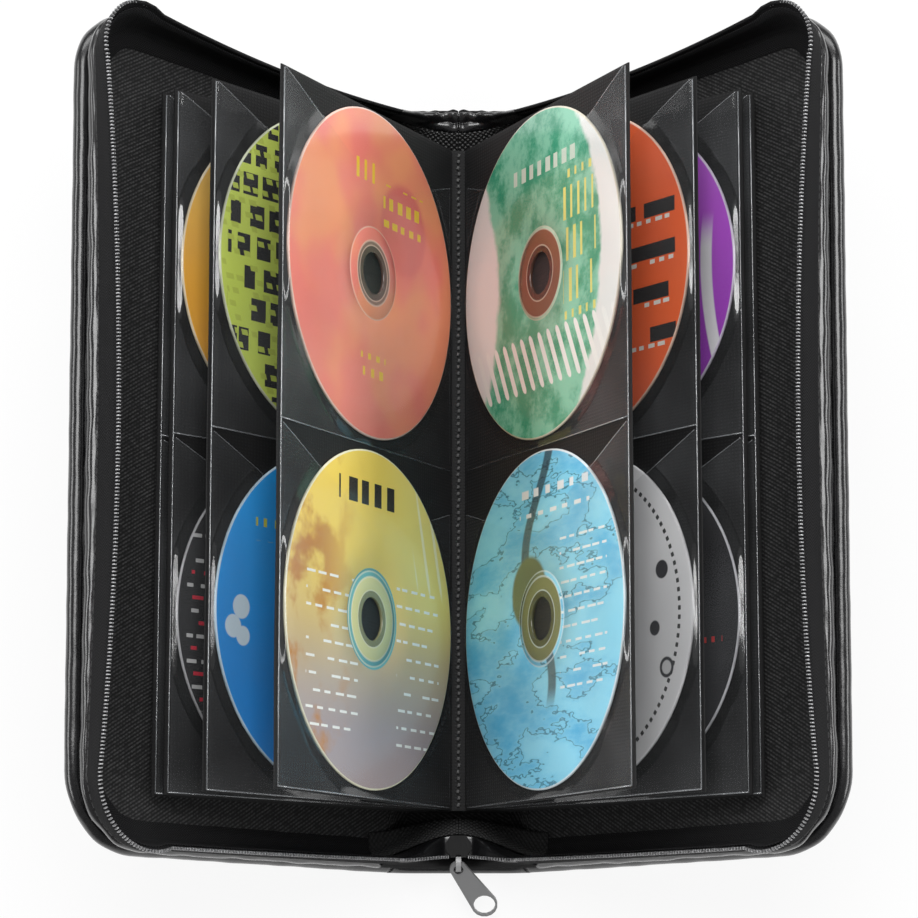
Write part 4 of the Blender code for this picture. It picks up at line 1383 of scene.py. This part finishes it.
def disc_profile():
    """The half-section of a disc as (radius, height): stacking ring, groove and round rim."""
    low, high, rim = DISC_BASE, DISC_TOP - 0.0001, DISC_RADIUS
    return [(DISC_HOLE_RADIUS + 0.0002, low), (DISC_HOLE_RADIUS, low + 0.0003),
            (DISC_HOLE_RADIUS, high - 0.0003), (DISC_HOLE_RADIUS + 0.0002, high),
            (0.0100, high), (0.0164, high), (0.0167, high - 0.00018), (0.0172, high - 0.00018),
            (0.0175, high), (0.0300, high), (0.0450, high), (0.0590, high),
            (0.0593, high - 0.00005),
            (rim - 0.0003, high - 0.0001), (rim, high - 0.0004), (rim, low + 0.0004),
            (rim - 0.0003, low), (0.0450, low), (0.0175, low), (0.0172, low + 0.0002),
            (0.0167, low + 0.0002), (0.0164, low)]


def build_disc(label, side, number, level):
    name = f"{label}_leaf_{number}_{level}_printed_disc"
    material = DISC_PRINTS[label, level][number - 1](Print(name))
    rows = []
    for step in range(97):
        turn = 2 * math.pi * step / 96
        rows.append([(r * math.cos(turn), r * math.sin(turn), w) for r, w in disc_profile()])
    mesh = surface(name, rows, material, closed=True)
    clean_mesh(mesh, WELD_REACH, 50.0)
    centre = (side * PAGE_WIDTH / 2, pocket_middle(level) + DISC_REST, 0.0)
    disc = place_piece(name, mesh, page_matrix(side, number) @ Matrix.Translation(centre))
    finish_piece(disc, f"{label}_leaf_{number}",
                 [f"{label}_leaf_{number}_{level}_disc"])


def build_pages(label, side, looks):
    for number in range(1, 5):
        build_page(label, side, number, looks)
        for level in LEVELS:
            look = looks["film" if number <= PAGES_WITH_DISCS else "plain_film"]
            build_pocket(label, side, number, level, look)
            build_pocket(label, side, number, level, looks["plain_film"], front=False)
            if number <= PAGES_WITH_DISCS:
                build_disc(label, side, number, level)


def dress_slider(looks):
    """Metal looks and rounded edges for the zip's slider and pull, kept from the solids."""
    for node, look in (("zipper_slider", "slider"), ("zipper_pull", "pull")):
        item = frame["nodes"][node]
        item.data.materials[0] = looks[look]
        edge = item.modifiers.new("edge", "BEVEL")
        edge.width = METAL_ROUNDING
        edge.segments = 3
        edge.limit_method = "ANGLE"
        edge.angle_limit = math.radians(40.0)


# Floor, light and camera


def build_stage():
    corners = ((-1, -1), (1, -1), (1, 1), (-1, 1))
    points = [(x * FLOOR_REACH, y * FLOOR_REACH, 0.0) for x, y in corners]
    mesh = new_mesh("floor", points, [(0, 1, 2, 3)], floor_paint("floor"))
    floor = place_piece("floor", mesh, Matrix.Translation((0.0, 0.0, -FLOOR_DROP)))


def build_lights():
    scene = bpy.context.scene
    for name, place, size, power in LAMPS:
        data = bpy.data.lights.new(name, "AREA")
        data.shape = "RECTANGLE"
        data.size, data.size_y = size
        data.energy = power
        lamp = place_piece(name, data)
        lamp.location = place
        lamp.rotation_mode = "QUATERNION"
        lamp.rotation_quaternion = (Vector(LIGHT_AIM) - Vector(place)).to_track_quat("-Z", "Y")
    scene.world = bpy.data.worlds.new("studio")
    scene.world.use_nodes = True
    background = scene.world.node_tree.nodes["Background"]
    background.inputs["Color"].default_value = (1.0, 1.0, 1.0, 1.0)
    background.inputs["Strength"].default_value = WORLD_LIGHT


def build_camera():
    data = bpy.data.cameras.new("camera")
    data.lens = CAMERA_LENS
    data.sensor_width = 36.0
    data.clip_start, data.clip_end = 0.05, 20.0
    camera = place_piece("camera", data)
    tilt = math.radians(CAMERA_TILT)
    back = Vector((0.0, -math.sin(tilt), math.cos(tilt))) * CAMERA_DISTANCE
    camera.location = Vector(CAMERA_AIM) + back
    camera.rotation_euler = (tilt, 0.0, 0.0)
    bpy.context.scene.camera = camera


def make_looks():
    return {
        "leather": leatherette("leatherette"),
        "roll": leatherette("rolled_leatherette", 0.24, 0.30, 0.08, 0.60),
        "band": leatherette("band_leatherette", 0.24, 0.30, 0.08, 0.90),
        "gather": leatherette("gathered_leatherette", 0.28, 0.45, 0.06, 1.0),
        "twill": twill("twill_lining"),
        "tape": tape_weave("zip_tape"),
        # Painted shade: a darker copy of the zip tape for the skirts at the spine's ends, which
        # stand in shadow.
        "skirt": tape_weave("end_tape_painted_shade", 0.008),
        "mesh": dotted_mesh("dotted_mesh"),
        "page": page_cloth("page_cloth"),
        "film": clear_film("clear_vinyl"),
        "plain_film": clear_film("plain_vinyl", folds=False),
        "weld": clear_film("vinyl_weld", 0.28, False),
        "pale_thread": thread("pale_thread", (0.13, 0.13, 0.13)),
        "dark_thread": thread("dark_thread", (0.020, 0.020, 0.021)),
        "slider": gunmetal("slider_metal", 0.006, 0.50, 0.40, 0.25),
        "pull": gunmetal("pull_metal", 0.38, 0.34, 0.38, 0.55),
        "teeth": tooth_metal("zip_teeth"),
    }


def main():
    looks = make_looks()
    build_spine(looks)
    for label, side in SIDES:
        build_cover(label, side, looks)
        build_hinge_folds(label, side, looks)
        build_gathers(label, side, looks)
        build_near_chain(label, side, looks)
        build_pages(label, side, looks)
    dress_slider(looks)
    build_stage()
    build_lights()
    build_camera()
    scene = bpy.context.scene
    scene.view_settings.view_transform = "Standard"


main()
